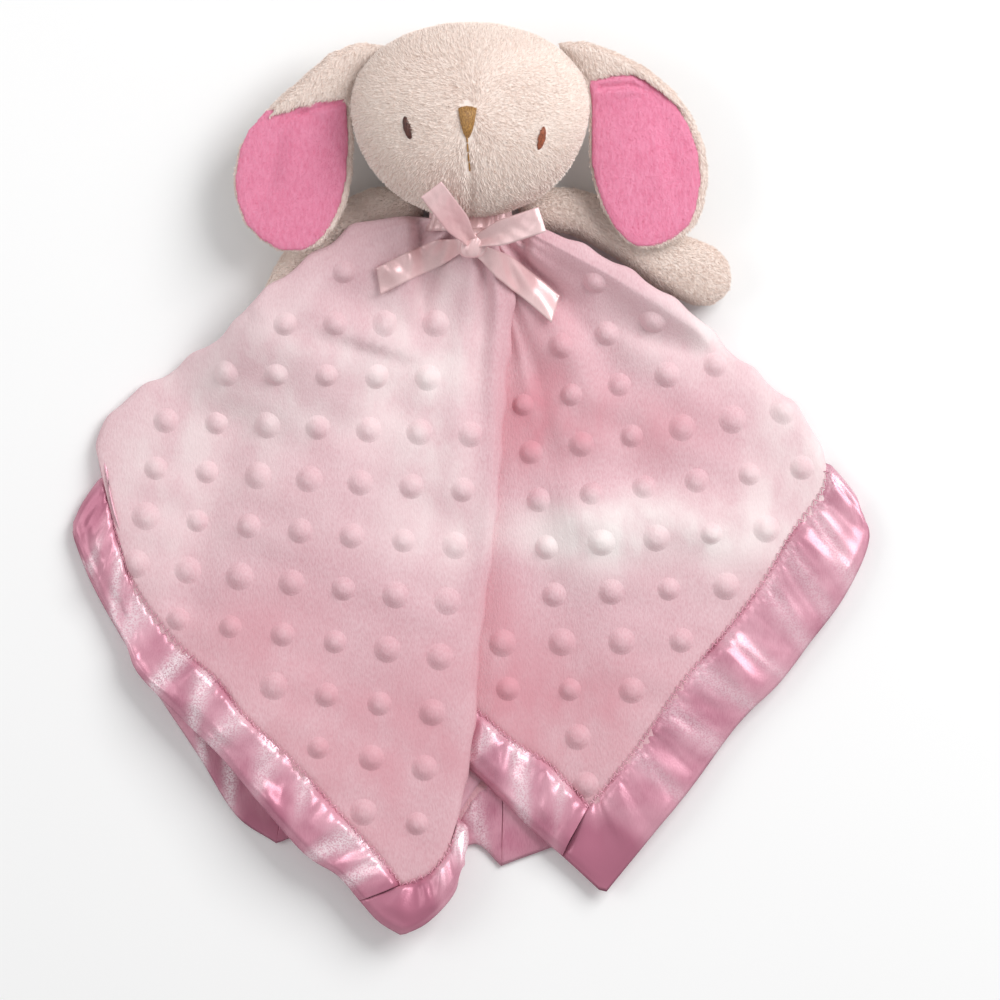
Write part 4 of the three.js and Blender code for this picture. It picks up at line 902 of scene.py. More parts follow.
class Cloth:
    """The folded blanket square as a surface that its pieces are cut from.

    Rows run from 0 at the neck to 1 at the stitched edge of the satin and 2 at its outer edge.
    """

    def __init__(self, sizes: ClothSizes) -> None:
        self.sizes = sizes
        lines = {"left": LEFT_FOLD, "edge": PLEAT_EDGE, "inner": PLEAT_INNER, "right": RIGHT_FOLD}
        self.sides = {name: self._side(name, line) for name, line in lines.items()}
        self.arms = [
            np.column_stack([on_chart(np.array(arm)[:, :2]), np.array(arm)[:, 2] * sizes.arm_width])
            for arm in (LEFT_ARM, RIGHT_ARM)
        ]
        lines = VALLEY, DROP, BUCKLE, PUFF, HOLLOW
        self.valley, self.drop, self.buckle, self.puff, self.hollow = map(on_chart, lines)
        self.soft = Ripple(70 * MM, SEED)
        self.small = Ripple(22 * MM, SEED + 1)
        self.crumple = Ripple(30 * MM, SEED + 3)
        self.patches = [
            self._patch("left", "edge", LEFT_HEM, self._left_height, True, (9, 11)),
            self._patch("edge", "inner", UNDER_HEM, self._under_height, False),
            self._patch("inner", "right", RIGHT_HEM, self._right_height, True, (6, 7)),
            self._patch("right", "edge", BACK_RIGHT_HEM, self._back_height, False, (4,)),
            self._patch("edge", "left", BACK_LEFT_HEM, self._back_height, False, (3, 8)),
        ]
        self.patches[3].folded = (True, False)
        self.patches[4].folded = (False, True)

    def _side(self, name: str, line: Sequence) -> Line:
        """Returns a fold line, from its start in the gathered neck."""
        start = [[NECK.x + NECK_STARTS[name] * self.sizes.neck_width, NECK.y]]
        return Line(np.concatenate([start, on_chart(line)]))

    def _patch(
        self,
        start: str,
        end: str,
        hem: Sequence,
        height: Callable,
        front: bool,
        corners: Sequence[int] = (),
    ) -> Patch:
        """Returns the patch between two named fold lines, with its hem."""
        rows = np.array(hem)
        inner, outer = on_chart(rows[:, :2]), on_chart(rows[:, 2:])
        marks = run_along(inner, 0.4 * MM)
        lines = Line(inner, corners), Line(outer, corners)
        return Patch(self.sides[start], self.sides[end], *lines, marks / marks[-1], height, front)

    def _neck(self, x: Array, y: Array) -> Array:
        """Returns how high the gathered neck holds the cloth."""
        far = np.hypot(x - NECK.x, y - NECK.y) / (self.sizes.neck_width * 1.5)
        return self.sizes.neck_rise * (1 - ease(far))

    def lift(self, x: Array, y: Array) -> Array:
        """Returns how high the cloth is held from below, by the arms and near the neck."""
        sizes = self.sizes
        high = self._neck(x, y)
        for arm, reach in zip(self.arms, (2.0, 0.9)):
            away, share = nearest(arm, x, y)
            wide = np.interp(share, np.arange(len(arm)), arm[:, 2])
            inside = wide * 0.875
            fall = 1 - ease((away - inside) / (wide - inside + reach * sizes.arm_width))
            cover = ease((np.abs(x - NECK.x) - sizes.cover_start) / sizes.cover_ramp)
            high = np.maximum(high, sizes.arm_top * fall * cover)
        return high

    def _swell(self, x: Array, y: Array, s: Array) -> Array:
        """Returns how far the gathers swell the front layers, where no arm lifts them already."""
        swell = self.sizes.neck_swell * (1 - ease(s * 4))
        return np.maximum(self._neck(x, y) + swell - self.lift(x, y), 0.0)

    def _bulge(self, t: Value, s: Array) -> Array:
        """Returns the loft of a patch between its folds."""
        return self.sizes.loft * np.sqrt(np.clip(np.sin(math.pi * t), 0, 1)) * ease(s * 4)

    def _gathers(self, t: Array, s: Array, folds: float, shift: float) -> Array:
        """Returns soft folds that run out from the gathered neck and die away."""
        fade = ease(s * 12) * np.exp(-s * 3.6)
        across = t + 0.05 * np.sin(9 * s + math.tau * shift)
        wave = np.sin(math.tau * (folds * across + shift))
        wave = wave + 0.5 * np.sin(math.tau * (folds * 1.7 * across + 2 * shift))
        return 2.5 * MM * fade * wave * ease(t * 9) * ease((1 - t) * 9)

    def _wander(self, x: Array, y: Array, t: Array, s: Array, rumpled: float) -> Array:
        """Returns the cloth's own soft unevenness, gone at the folds and the neck."""
        edge = ease(t * 7) * ease((1 - t) * 7) * ease(s * 3)
        crumple = self.crumple(x, y) * bell((s - 0.38) / 0.24)
        wide = 1.2 * self.soft(x, y) + 0.3 * self.small(x, y) + rumpled * crumple
        return edge * MM * wide

    def _creases(self, x: Array, y: Array, lines: Sequence) -> Array:
        """Returns ridges and furrows along lines, each with a low shoulder the other way."""
        total = 0 * x
        for line, strength in lines:
            away = nearest(line, x, y)[0] / self.sizes.crease_wide
            total = total + strength * self.sizes.crease * (1.3 * bell(away) - 0.5 * bell(away / 2))
        return total

    def _left_height(self, x: Array, y: Array, t: Value, s: Array) -> Array:
        """Returns the height of the left front layer."""
        sizes = self.sizes
        crease = bell(nearest(self.valley, x, y)[0] / sizes.crease_reach)
        drop = sizes.valley * crease * ease(s * 2) * np.sin(math.pi * t)
        share = ease(2 * t * ease(s + 0.25) + 1 - ease(2 * s + 0.5))
        flat = mix(sizes.right_level, sizes.left_level, share)
        extra = self._gathers(t, s, 3.0, 0.1) + self._wander(x, y, t, s, 0.8)
        extra = extra + self._creases(x, y, ((self.valley, -1.0), (self.drop, -0.6))) * ease(s * 5)
        return flat + self._swell(x, y, s) + self._bulge(t, s) - drop + extra

    def _under_height(self, x: Array, y: Array, t: Value, s: Array) -> Array:
        """Returns the height of the layer tucked under the pleat."""
        drop = 3.6 * MM * ease(s * 12) * np.exp(-s * 3.6)
        return self.sizes.under_level + self._swell(x, y, s) - drop + 0 * x

    def _right_height(self, x: Array, y: Array, t: Value, s: Array) -> Array:
        """Returns the height of the right front layer."""
        sizes = self.sizes
        clear = ease((t - 0.25) * 4)
        rise = bell(nearest(self.buckle, x, y)[0] / sizes.crease_reach)
        more = bell(nearest(self.puff, x, y)[0] / sizes.crease_reach)
        crown = self._bulge(t, s) + (rise + more) * sizes.ridge * ease(s * 4)
        extra = self._gathers(t, s, 3.5, 0.3) + self._wander(x, y, t, s, 1.9)
        creases = ((self.buckle, 1.0), (self.puff, 0.6), (self.hollow, -0.8))
        extra = extra + self._creases(x, y, creases) * ease(s * 5)
        return sizes.right_level + self._swell(x, y, s) + clear * (crown + extra)

    def _back_height(self, x: Array, y: Array, t: Value, s: Array) -> Array:
        """Returns the height of the back layer, which lies flat."""
        return 0 * x

    def plan(self, patch: Patch, t: Array, rows: Array) -> Array:
        """Returns places in the plan at shares across a patch and rows down it."""
        t = np.asarray(t, float)
        s = np.minimum(rows, 1.0)
        p, q = patch.first.share(s), patch.last.share(s)
        a, b = patch.first.points[0], patch.last.points[0]
        c, d = patch.inner.points[0], patch.inner.points[-1]
        place = np.interp(t, patch.marks, np.arange(len(patch.marks)))
        hem, edge = patch.inner.at(place), patch.outer.at(place)
        t3, s3 = t[..., None], s[..., None]
        ruled = mix(p, q, t3)
        drawn = mix(mix(a, b, t3), hem, s3)
        corners = mix(mix(a, b, t3), mix(c, d, t3), s3)
        beyond = np.maximum(rows - 1.0, 0.0)[..., None]
        return ruled + drawn - corners + (edge - hem) * beyond

    def _round(self, patch: Patch, rows: Array) -> Array:
        """Returns the share of a patch's width that a fold's roundness takes up."""
        s = np.minimum(rows, 1.0)
        wide = np.linalg.norm(patch.last.share(s) - patch.first.share(s), axis=-1)
        return np.minimum(self.sizes.fold_round / np.maximum(wide, 1e-6), 0.375)

    def _inside(self, patch: Patch, t: Value, rows: Array) -> Array:
        """Returns shares across a whole patch for shares across its flat part."""
        room = self._round(patch, rows)
        low = room if patch.folded[0] else 0 * room
        high = 1 - room if patch.folded[1] else 0 * room + 1
        return mix(low, high, t)

    def hem_share(self, patch: int, mark: int) -> float:
        """Returns the column share that meets a numbered row of a hem table."""
        p = self.patches[patch]
        low, high = (float(self._inside(p, np.array(v), np.array(1.0))) for v in (0.0, 1.0))
        return (p.marks[mark] - low) / (high - low)

    def at(self, column: Column, rows: Array) -> Array:
        """Returns the points of the cloth's outer face down one column."""
        rows = np.asarray(rows, float)
        patch = self.patches[column.patch]
        if column.bend is None:
            place, z = self._level(patch, column.share, rows)
            return np.concatenate([place, z[..., None]], -1)
        ahead = self.patches[(column.patch + 1) % len(self.patches)]
        fold = self.plan(patch, 1 + 0 * rows, rows)
        ends = self._level(patch, 1.0, rows), self._level(ahead, 0.0, rows)
        near = ends[0][0] if column.bend < math.pi / 2 else ends[1][0]
        proud = fold + unit(fold - near) * self._edge_dots(fold)[..., None]
        plan = proud + (near - proud) * (1 - math.sin(column.bend))
        z = mix(ends[0][1], ends[1][1], (1 - math.cos(column.bend)) / 2)
        return np.concatenate([plan, z[..., None]], -1)

    def _level(self, patch: Patch, share: float, rows: Array) -> tuple[Array, Array]:
        """Returns places in the plan down a patch, and the cloth's height at them."""
        place = self.plan(patch, self._inside(patch, share + 0 * rows, rows), rows)
        x, y = place[..., 0], place[..., 1]
        return place, self.lift(x, y) + patch.height(x, y, share, np.minimum(rows, 1.0))

    def _edge_dots(self, fold: Array) -> Array:
        """Returns how far the dots that lie round a fold push its edge out."""
        run = run_along(fold)
        wave = np.abs(np.sin(math.pi * run / self.sizes.dot_step))
        clear = ease((run - 12 * MM) / (10 * MM)) * ease((run[-1] - run) / (20 * MM))
        return 1.3 * MM * wave**3 * clear

    def columns(
        self, pitch: float, extra: dict[int, Sequence[float]] | None = None
    ) -> list[Column]:
        """Returns the columns all round the cloth at a spacing along the hem."""
        made = []
        for n, patch in enumerate(self.patches):
            long = patch.outer.lengths[-1]
            shares = set(np.linspace(0, 1, max(8, round(long / pitch)) + 1).tolist())
            shares |= set((extra or {}).get(n, ()))
            if not patch.folded[0]:
                shares.discard(0.0)
            made += [Column(n, t) for t in sorted(shares)]
            if patch.folded[1]:
                made += [Column(n, 1.0, math.pi * k / 8) for k in range(1, 8)]
        return made

    def grid(self, columns: Sequence[Column], rows: Array) -> Array:
        """Returns the outer face's points, one row of them for each column."""
        return np.stack([self.at(column, rows) for column in columns])


class Blanket:
    """The minky square with its lining, satin edge, raised dots and stitches."""

    # Each pattern's first dot, its steps across and down, and how those turn from row to row
    LEFT_DOTS = ((0.478, 0.379), (-0.0503, -0.001), (-0.0076, 0.0555), (-0.0004, -0.0013))
    RIGHT_DOTS = ((0.523, 0.405), (0.048, -0.01), (0.0078, 0.0474), (0.0023, 0.0018))
    BACK_DOTS = ((0.46, 0.52), (0.0528, 0.0), (0.0, 0.0528), (0.0, 0.0))
    # The puckers' spacings, slants, widths and heights, in millimetres
    PUCKERS = ((8, 13, 2.0, 0.8), (15, 14, 5.0, 1.7), (4.2, 4, 0.9, 0.35))
    # Each strip's length as a share of the square's side, how strongly it puckers, and how strong
    # its painted highlight bands are
    LENGTHS = {"left": 0.75, "front": 0.5, "right": 0.9, "back": 0.15}
    CRUMPLED = {"left": 1.5, "front": 1.5, "right": 0.8, "back": 1.2}
    PAINTED_BAND_STRENGTH = {"left": 1.0, "front": 0.95, "right": 0.45, "back": 0.9}
    # Where each strip starts and ends: a patch and a row of its hem table
    SEAMS = {
        "left": (4, 8, 0, 9),
        "front": (0, 9, 2, 6),
        "right": (2, 6, 3, 4),
        "back": (3, 4, 4, 8),
    }

    def __init__(self, shop: Shop, sizes: ClothSizes) -> None:
        self.shop = shop
        self.sizes = sizes
        self.cloth = Cloth(sizes)

    def build(self) -> None:
        """Makes all the blanket's pieces."""
        minky = self._minky()
        lining = self._lining()
        dots = self._dots(minky)
        strips = [self._strip(name) for name in self.SEAMS]
        stitches = self._stitches()
        for piece in (minky, lining, dots, *strips, stitches):
            self._settle(piece)

    @staticmethod
    def _settle(obj: bpy.types.Object) -> None:
        """Presses what hangs below the cloth, its dots and puckers, flat against the floor."""
        points = places_of(obj)
        top, deep, least = 2.5 * MM, 3.8 * MM, 0.1 * MM
        share = np.clip((points[:, 2] + deep) / (top + deep), 0.0, 1.0)
        low = mix(least, top, share**1.5)
        points[:, 2] = np.where(points[:, 2] < top, low, points[:, 2])
        move_to(obj, points)

    def _minky(self) -> bpy.types.Object:
        """Makes the minky square, its edge tucked under the satin."""
        cloth, sizes = self.cloth, self.sizes
        columns = cloth.columns(sizes.pitch)
        down = np.concatenate([np.linspace(0, 1, 112) ** 0.92, [1.04, 1.1, 1.18]])
        points = cloth.grid(columns, down)
        normals = self._outward(points, columns)
        tuck = ease((down - 0.985) / 0.03) * 0.9 * MM
        points = points - normals * tuck[None, :, None]
        faces = grid_faces(len(columns), len(down), True)
        obj = mesh_object("minky_square", points.reshape(-1, 3), faces)
        self._face_out(obj, points, normals)
        thicken(obj, sizes.minky)
        self._store_brushed_and_lit(obj)
        return self.shop.place(obj, "blanket", Slot.MINKY, "minky_panel")

    def _lining(self) -> bpy.types.Object:
        """Makes the satin layer behind the minky."""
        cloth, sizes = self.cloth, self.sizes
        columns = cloth.columns(sizes.pitch * 2.2)
        down = np.linspace(0.12, 0.985, 42)
        points = cloth.grid(columns, down)
        normals = self._outward(points, columns)
        inside = points - self._steadied(normals, columns, down) * (sizes.minky + sizes.ply_gap)
        faces = grid_faces(len(columns), len(down), True)
        obj = mesh_object("satin_back", inside.reshape(-1, 3), faces)
        self._face_out(obj, inside, normals)
        thicken(obj, sizes.lining)
        return self.shop.place(obj, "blanket", Slot.LINING, "satin_lining")

    def _steadied(self, normals: Array, columns: Sequence[Column], down: Array) -> Array:
        """Returns normals that stand upright on the gathers, where the cloth turns sharply."""
        upright = normals.copy()
        for i, column in enumerate(columns):
            if column.bend is None:
                upright[i] = (0.0, 0.0, 1.0 if self.cloth.patches[column.patch].front else -1.0)
        return unit(mix(upright, normals, ease((down - 0.15) / 0.35)[None, :, None]))

    def _outward(self, points: Array, columns: Sequence[Column]) -> Array:
        """Returns the cloth's outward normals: up on the front layers, down on the back."""
        normals = grid_normals(points, True)
        front = [i for i, c in enumerate(columns) if c.patch == 0 and c.bend is None]
        middle = front[len(front) // 2]
        return normals if normals[middle, points.shape[1] // 2, 2] > 0 else -normals

    def _face_out(self, obj: bpy.types.Object, points: Array, normals: Array) -> None:
        """Turns a cloth's faces so that their normals point outwards."""
        mesh = obj.data
        rows = points.shape[1]
        face = mesh.polygons[len(mesh.polygons) // 8]
        i, k = divmod(face.vertices[0], rows)
        if face.normal.dot(Vector(normals[i, k])) < 0:
            mesh.flip_normals()

    def _strip_columns(self, name: str) -> list[Column]:
        """Returns the columns between the two seams of one side's strip."""
        cloth = self.cloth
        start, start_mark, end, end_mark = self.SEAMS[name]
        beside = 0.02 * MM
        extra: dict[int, list[float]] = {}
        limits = []
        for patch, mark, side in ((start, start_mark, 1), (end, end_mark, -1)):
            share = cloth.hem_share(patch, mark)
            share += side * beside / cloth.patches[patch].outer.lengths[-1]
            extra.setdefault(patch, []).append(share)
            limits.append((patch, share))
        columns = cloth.columns(1.1 * MM, extra)
        keys = [(c.patch, c.share) if c.bend is None else None for c in columns]
        first, last = keys.index(limits[0]), keys.index(limits[1])
        if first < last:
            return columns[first : last + 1]
        return columns[first:] + columns[: last + 1]

    def _strip(self, name: str) -> bpy.types.Object:
        """Makes one side's satin strip: a folded band whose face puckers at its stitches."""
        cloth, sizes = self.cloth, self.sizes
        chosen = self._strip_columns(name)
        face = np.linspace(0.0, 1.0, 23)
        middle = cloth.grid(chosen, 1.0 + face)
        normals = grid_normals(middle, False)
        fronts = np.array([cloth.patches[c.patch].front for c in chosen])
        pick = int(np.argmax(fronts)) if fronts.any() else 0
        half = len(face) // 2
        if (normals[pick, half, 2] > 0) != bool(fronts[pick]):
            normals = -normals
        run = run_along(middle[:, half])
        source = np.random.default_rng(SEED + len(name))
        top = self._pucker(run, face, source, self.CRUMPLED[name])
        under = self._pucker(run, face, source, 1.1)
        outside = middle + normals * (0.15 * MM + top)[..., None]
        inside = middle - normals * (sizes.ply - 0.1 * MM + 0.5 * under)[..., None]
        drawn = 0.75 * ease((face - 0.86) / 0.14)[None, :, None]
        heart = middle - normals * (sizes.ply / 2)
        outside, inside = mix(outside, heart, drawn), mix(inside, heart, drawn)
        points = np.concatenate([outside, inside[:, ::-1][:, 1:]], axis=1)
        faces = grid_faces(len(chosen), points.shape[1], False)
        obj = mesh_object(f"satin_edge_{name}", points.reshape(-1, 3), faces)
        # Painted highlight bands across the strip, lessened by painted shade at the given places
        bands = self._painted_bands(run, face, source, self.PAINTED_BAND_STRENGTH[name])
        for x, y, reach in PAINTED_SATIN_SHADE:
            gap = (middle[..., :2] - on_chart((x, y))) / (reach * CHART_SIDE)
            bands = bands - 1.7 * bell(np.hypot(gap[..., 0], gap[..., 1]))
        bands = np.clip(bands, -1.0, 1.0)
        store(obj, "painted_sheen", np.concatenate([bands, bands[:, ::-1][:, 1:]], axis=1))
        block = points.shape[1]
        polygon = obj.data.polygons[(block - 1) * min(pick, len(chosen) - 2) + half]
        if polygon.normal.dot(Vector(normals[pick, half])) < 0:
            obj.data.flip_normals()
        thicken(obj, sizes.satin)
        return self.shop.place(obj, "blanket", Slot.BINDING, f"binding_{name}")

    def _painted_bands(
        self, run: Array, face: Array, source: np.random.Generator, strength: float
    ) -> Array:
        """Returns the painted highlight bands across the satin: how bright they are over its length
        and its width.
        """
        u, v = run[:, None], face[None, :]
        total = 0.0 * u * v
        count = max(1, round(run[-1] / (17 * MM)))
        for k in range(count):
            middle = (k + source.uniform(0.3, 0.7)) * run[-1] / count
            lean = source.uniform(-9, 9) * MM
            wide = source.uniform(3.5, 6.5) * MM * (1 - 0.35 * v)
            total = total + source.uniform(0.55, 1.0) * bell((u - middle - lean * (v - 0.5)) / wide)
        return np.clip(total * strength, 0.0, 1.0)

    def _pucker(
        self, run: Array, face: Array, source: np.random.Generator, strength: float
    ) -> Array:
        """Returns how far the satin stands proud, over its length and from stitches to edge."""
        u, v = run[:, None], face[None, :]
        total = 1.0 * MM * np.sqrt(np.clip(np.sin(math.pi * np.clip(v * 0.92 + 0.04, 0, 1)), 0, 1))
        total = total + 0 * u
        for spacing, slant, wide, high in self.PUCKERS:
            count = max(2, round(run[-1] / (spacing * MM)))
            for k in range(count):
                middle = (k + source.uniform(0.1, 0.9)) * run[-1] / count
                lean = source.uniform(-slant, slant) * MM
                width = wide * MM * source.uniform(0.6, 1.5)
                reach = source.uniform(0.45, 1.1)
                away = (u - middle - lean * v) / (width * (1 + v))
                sign = 1.0 if source.uniform() < 0.66 else -0.8
                fold = np.exp(-np.abs(away) ** 1.5) * (1 - ease((v - reach) / 0.3))
                total = total + sign * high * strength * source.uniform(0.5, 1.0) * MM * fold
        stitch = np.sin(math.tau * u / (3.4 * MM)) * bell((v - 0.1) / 0.07) * 0.3 * MM
        low = bell((v - 0.03) / 0.07) * 0.9 * MM
        proud = np.clip(total - 0.35 * MM * strength, -0.6 * MM, 3.2 * MM)
        return proud * ease(v * 7 + 0.25) + stitch - low

    def _dots(self, minky: bpy.types.Object) -> bpy.types.Object:
        """Makes the raised dots: a low dome at each point of the pattern, on both faces."""
        faces = [tuple(p.vertices) for p in minky.data.polygons]
        tree = BVHTree.FromPolygons(places_of(minky).tolist(), faces)
        places, ups, ways = [], [], []
        for lattice, patches, covering, sky in (
            (self.LEFT_DOTS, (0,), (), 1.0),
            (self.RIGHT_DOTS, (2,), (0,), 1.0),
            (self.BACK_DOTS, (3, 4), (), -1.0),
        ):
            start, across, down, twist = (np.array(v) for v in lattice)
            for i, k in product(range(-10, 11), repeat=2):
                spot = on_chart(start + i * across + k * down + i * k * twist)
                hit, normal, _, _ = tree.ray_cast((*spot, RAY_START * sky), (0, 0, -sky))
                if hit is None or normal.z * sky < 0.5 or not self._on_patch(spot, patches):
                    continue
                if self._on_patch(spot, covering) or not self._even(tree, hit, normal, sky):
                    continue
                places.append(hit)
                ups.append(normal)
                ways.append(Vector((*(across * (1, -1)), 0.0)).normalized())
        obj = mesh_object("minky_dots", np.array(places), [])
        store(obj, "up", ups, True)
        store(obj, "along", ways, True)
        dome = self._dome()
        paint = self.shop.material(Slot.MINKY)
        raised_tree().run(obj, cloth=minky, shape=dome, spread=0.12, seed=SEED, material=paint)
        bpy.data.objects.remove(dome)
        obj.data.shade_smooth()
        self._store_brushed_and_lit(obj)
        return self.shop.place(obj, "blanket", Slot.MINKY)

    @staticmethod
    def _store_brushed_and_lit(obj: bpy.types.Object) -> None:
        """Stores at each point how far the minky is painted paler or deeper: partly the pile's lay,
        partly painted highlight and painted shade.
        """
        places = places_of(obj)[:, :2]
        table = np.array(NAP_AND_PAINTED_LIGHT)
        brushed_and_lit = np.full(len(places), 0.12)
        for middle, (wide, tall, strength) in zip(on_chart(table[:, :2]), table[:, 2:]):
            away = (places - middle) / CHART_SIDE / (wide, tall)
            brushed_and_lit += strength * bell(np.hypot(*away.T))
        store(obj, "brushed_and_lit", np.clip(brushed_and_lit, -1.0, 1.0))

    @staticmethod
    def _even(tree: BVHTree, place: Vector, normal: Vector, sky: float) -> bool:
        """Tells whether the cloth round a place is one smooth stretch, wide enough for a dot."""
        reach, step = 4.6 * MM, 1.6 * MM
        for k in range(8):
            turn = math.tau * k / 8
            spot = place + reach * Vector((math.cos(turn), math.sin(turn), 0.0))
            spot.z -= (normal.x * (spot.x - place.x) + normal.y * (spot.y - place.y)) / normal.z
            hit, _, _, _ = tree.ray_cast((spot.x, spot.y, RAY_START * sky), (0, 0, -sky))
            if hit is None or abs(hit.z - spot.z) > step:
                return False
        return True

    def _dome(self) -> bpy.types.Object:
        """Makes the flat shape of one dot, with each point's height over the cloth as "high"."""
        radius, rise, rings, sides = 5.2 * MM, 2.1 * MM, 8, 24
        points, heights, faces = [(0.0, 0.0, 0.0)], [rise], []
        for k in range(1, rings + 1):
            share = (k / rings) ** 0.85
            out = radius * share
            turns = [math.tau * n / sides for n in range(sides)]
            points += [(out * math.cos(a), out * math.sin(a), 0.0) for a in turns]
            crown = rise * float(1 - ease((share - 0.16) / 0.84))
            heights += [crown - 0.22 * MM * share**3] * sides
        faces += [(0, 1 + n, 1 + (n + 1) % sides) for n in range(sides)]
        faces += tube_faces(rings, sides, 1)
        low = len(points)
        points.append((0.0, 0.0, 0.0))
        heights.append(-0.4 * MM)
        last = 1 + (rings - 1) * sides
        faces += [(low, last + (n + 1) % sides, last + n) for n in range(sides)]
        obj = mesh_object("dot_shape", np.array(points), faces)
        store(obj, "high", heights)
        return obj

    def _on_patch(self, spot: Array, patches: Sequence[int]) -> bool:
        """Tells whether a place in the plan lies within the stitched part of given patches."""
        margin = 2.2 * MM
        for n in patches:
            patch = self.cloth.patches[n]
            s = np.linspace(0.06, 1, 40)
            hem = patch.inner.at(np.linspace(0, len(patch.marks) - 1, 80))
            loop = np.concatenate([patch.first.share(s), hem, patch.last.share(s[::-1])])
            x, y = loop[:, 0], loop[:, 1]
            nx, ny = np.roll(x, -1), np.roll(y, -1)
            crosses = (y > spot[1]) != (ny > spot[1])
            at = x + (spot[1] - y) * (nx - x) / np.where(ny == y, 1e-12, ny - y)
            if np.count_nonzero(crosses & (at > spot[0])) % 2:
                ring = np.hypot(x - spot[0], y - spot[1])
                return bool(ring.min() > margin)
        return False

    def _stitches(self) -> bpy.types.Object:
        """Makes the zigzag of thread that holds the satin's stitched edge."""
        cloth = self.cloth
        columns = cloth.columns(1.7 * MM)
        rows = np.array([0.985, 1.0, 1.05])
        points = cloth.grid(columns, rows)
        normals = self._outward(points, columns)
        places, ups, ways = [], [], []
        for i, column in enumerate(columns):
            if column.bend is not None:
                continue
            side = 1 if i % 2 else -1
            run = points[(i + 1) % len(columns), 1] - points[i - 1, 1]
            into = points[i, 2] - points[i, 0]
            way = unit(unit(run) + 1.3 * side * unit(into))
            places.append(points[i, 1] + normals[i, 1] * 0.45 * MM)
            ups.append(normals[i, 1])
            ways.append(way)
        obj = mesh_object("satin_stitches", np.array(places), [])
        store(obj, "up", ups, True)
        store(obj, "along", ways, True)
        bar = thread_bar("stitch_shape", 2.0 * MM, 0.17 * MM, 0.25 * MM)
        paint = self.shop.material(Slot.BINDING)
        copies_tree().run(obj, shape=bar, spread=0.15, seed=SEED, material=paint)
        bpy.data.objects.remove(bar)
        obj.data.shade_smooth()
        return self.shop.place(obj, "blanket", Slot.BINDING)


def thread_bar(name: str, length: float, radius: float, rise: float) -> bpy.types.Object:
    """Makes a short arched length of thread along +X, its ends a little below its middle."""
    rings, sides = 7, 8
    points = []
    for k in range(rings):
        share = 2 * k / (rings - 1) - 1
        size = radius * math.sqrt(max(0.04, 1 - share**6))
        for n in range(sides):
            a = math.tau * n / sides
            z = rise * (1 - share * share) - rise * 0.6 + size * math.sin(a)
            points.append((share * length / 2, size * math.cos(a), z))
    faces = tube_faces(rings, sides)
    faces.append(tuple(range(sides))[::-1])
    faces.append(tuple(range((rings - 1) * sides, rings * sides)))
    return mesh_object(name, np.array(points), faces)


# The rabbit


# How hard the stuffing pushes, how far a point of a skin may move, and the frames it takes
PRESSURE = 4.0
SWELL = 2 * MM
SWELL_FRAMES = 20


def swell_padding(obj: bpy.types.Object, voxel: float) -> None:
    """Fills a closed form like a stuffed skin, by a short cloth simulation.

    Args:
        obj: The closed form, a little smaller than the piece.
        voxel: The size of the even mesh that is simulated.
    """
    remeshed(obj, voxel)
    before = places_of(obj)
    cloth = obj.modifiers.new("stuffing", "CLOTH")
    cloth.settings.use_pressure = True
    cloth.settings.uniform_pressure_force = PRESSURE
    cloth.settings.effector_weights.gravity = 0.0
    scene = bpy.context.scene
    for number in range(1, SWELL_FRAMES + 1):
        scene.frame_set(number)
    apply_modifiers(obj)
    scene.frame_set(1)
    moved = places_of(obj) - before
    far = np.linalg.norm(moved, axis=1, keepdims=True)
    move_to(obj, before + moved * np.minimum(1.0, SWELL / np.maximum(far, 1e-9)))
    divided(obj)
    obj.data.shade_smooth()


def copy_of(node: str, name: str) -> bpy.types.Object:
    """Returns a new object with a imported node's mesh, its corners joined."""
    mesh = frame["nodes"][node].data.copy()
    mesh.name = name
    work = bmesh.new()
    work.from_mesh(mesh)
    bmesh.ops.remove_doubles(work, verts=work.verts, dist=0.005 * MM)
    work.to_mesh(mesh)
    work.free()
    for layer in list(mesh.attributes):
        if layer.name in {"custom_normal", "UVMap"}:
            mesh.attributes.remove(layer)
    obj = bpy.data.objects.new(name, mesh)
    bpy.context.scene.collection.objects.link(obj)
    return obj


def blade_shape(name: str, length: float, width: float) -> bpy.types.Object:
    """Makes one tapering blade of pile along +Z, bent a little."""
    points = (
        (-width / 2, 0.0, -0.15 * length),
        (width / 2, 0.0, -0.15 * length),
        (width * 0.36, 0.12 * length, 0.5 * length),
        (-width * 0.36, 0.12 * length, 0.5 * length),
        (0.0, 0.34 * length, 0.95 * length),
    )
    return mesh_object(name, np.array(points), ((0, 1, 2, 3), (3, 2, 4)))


@dataclass(frozen=True)
class Nap:
    """A pile's blades a square metre, a blade's length, and how far the blades lie down."""

    density: float
    length: float
    lean: float


SKIN_NAP = Nap(6.4e6, 1.35 * MM, 2.3)
EAR_NAP = Nap(6.4e6, 1.25 * MM, 2.3)
LINING_NAP = Nap(1.2e7, 0.55 * MM, 3.0)


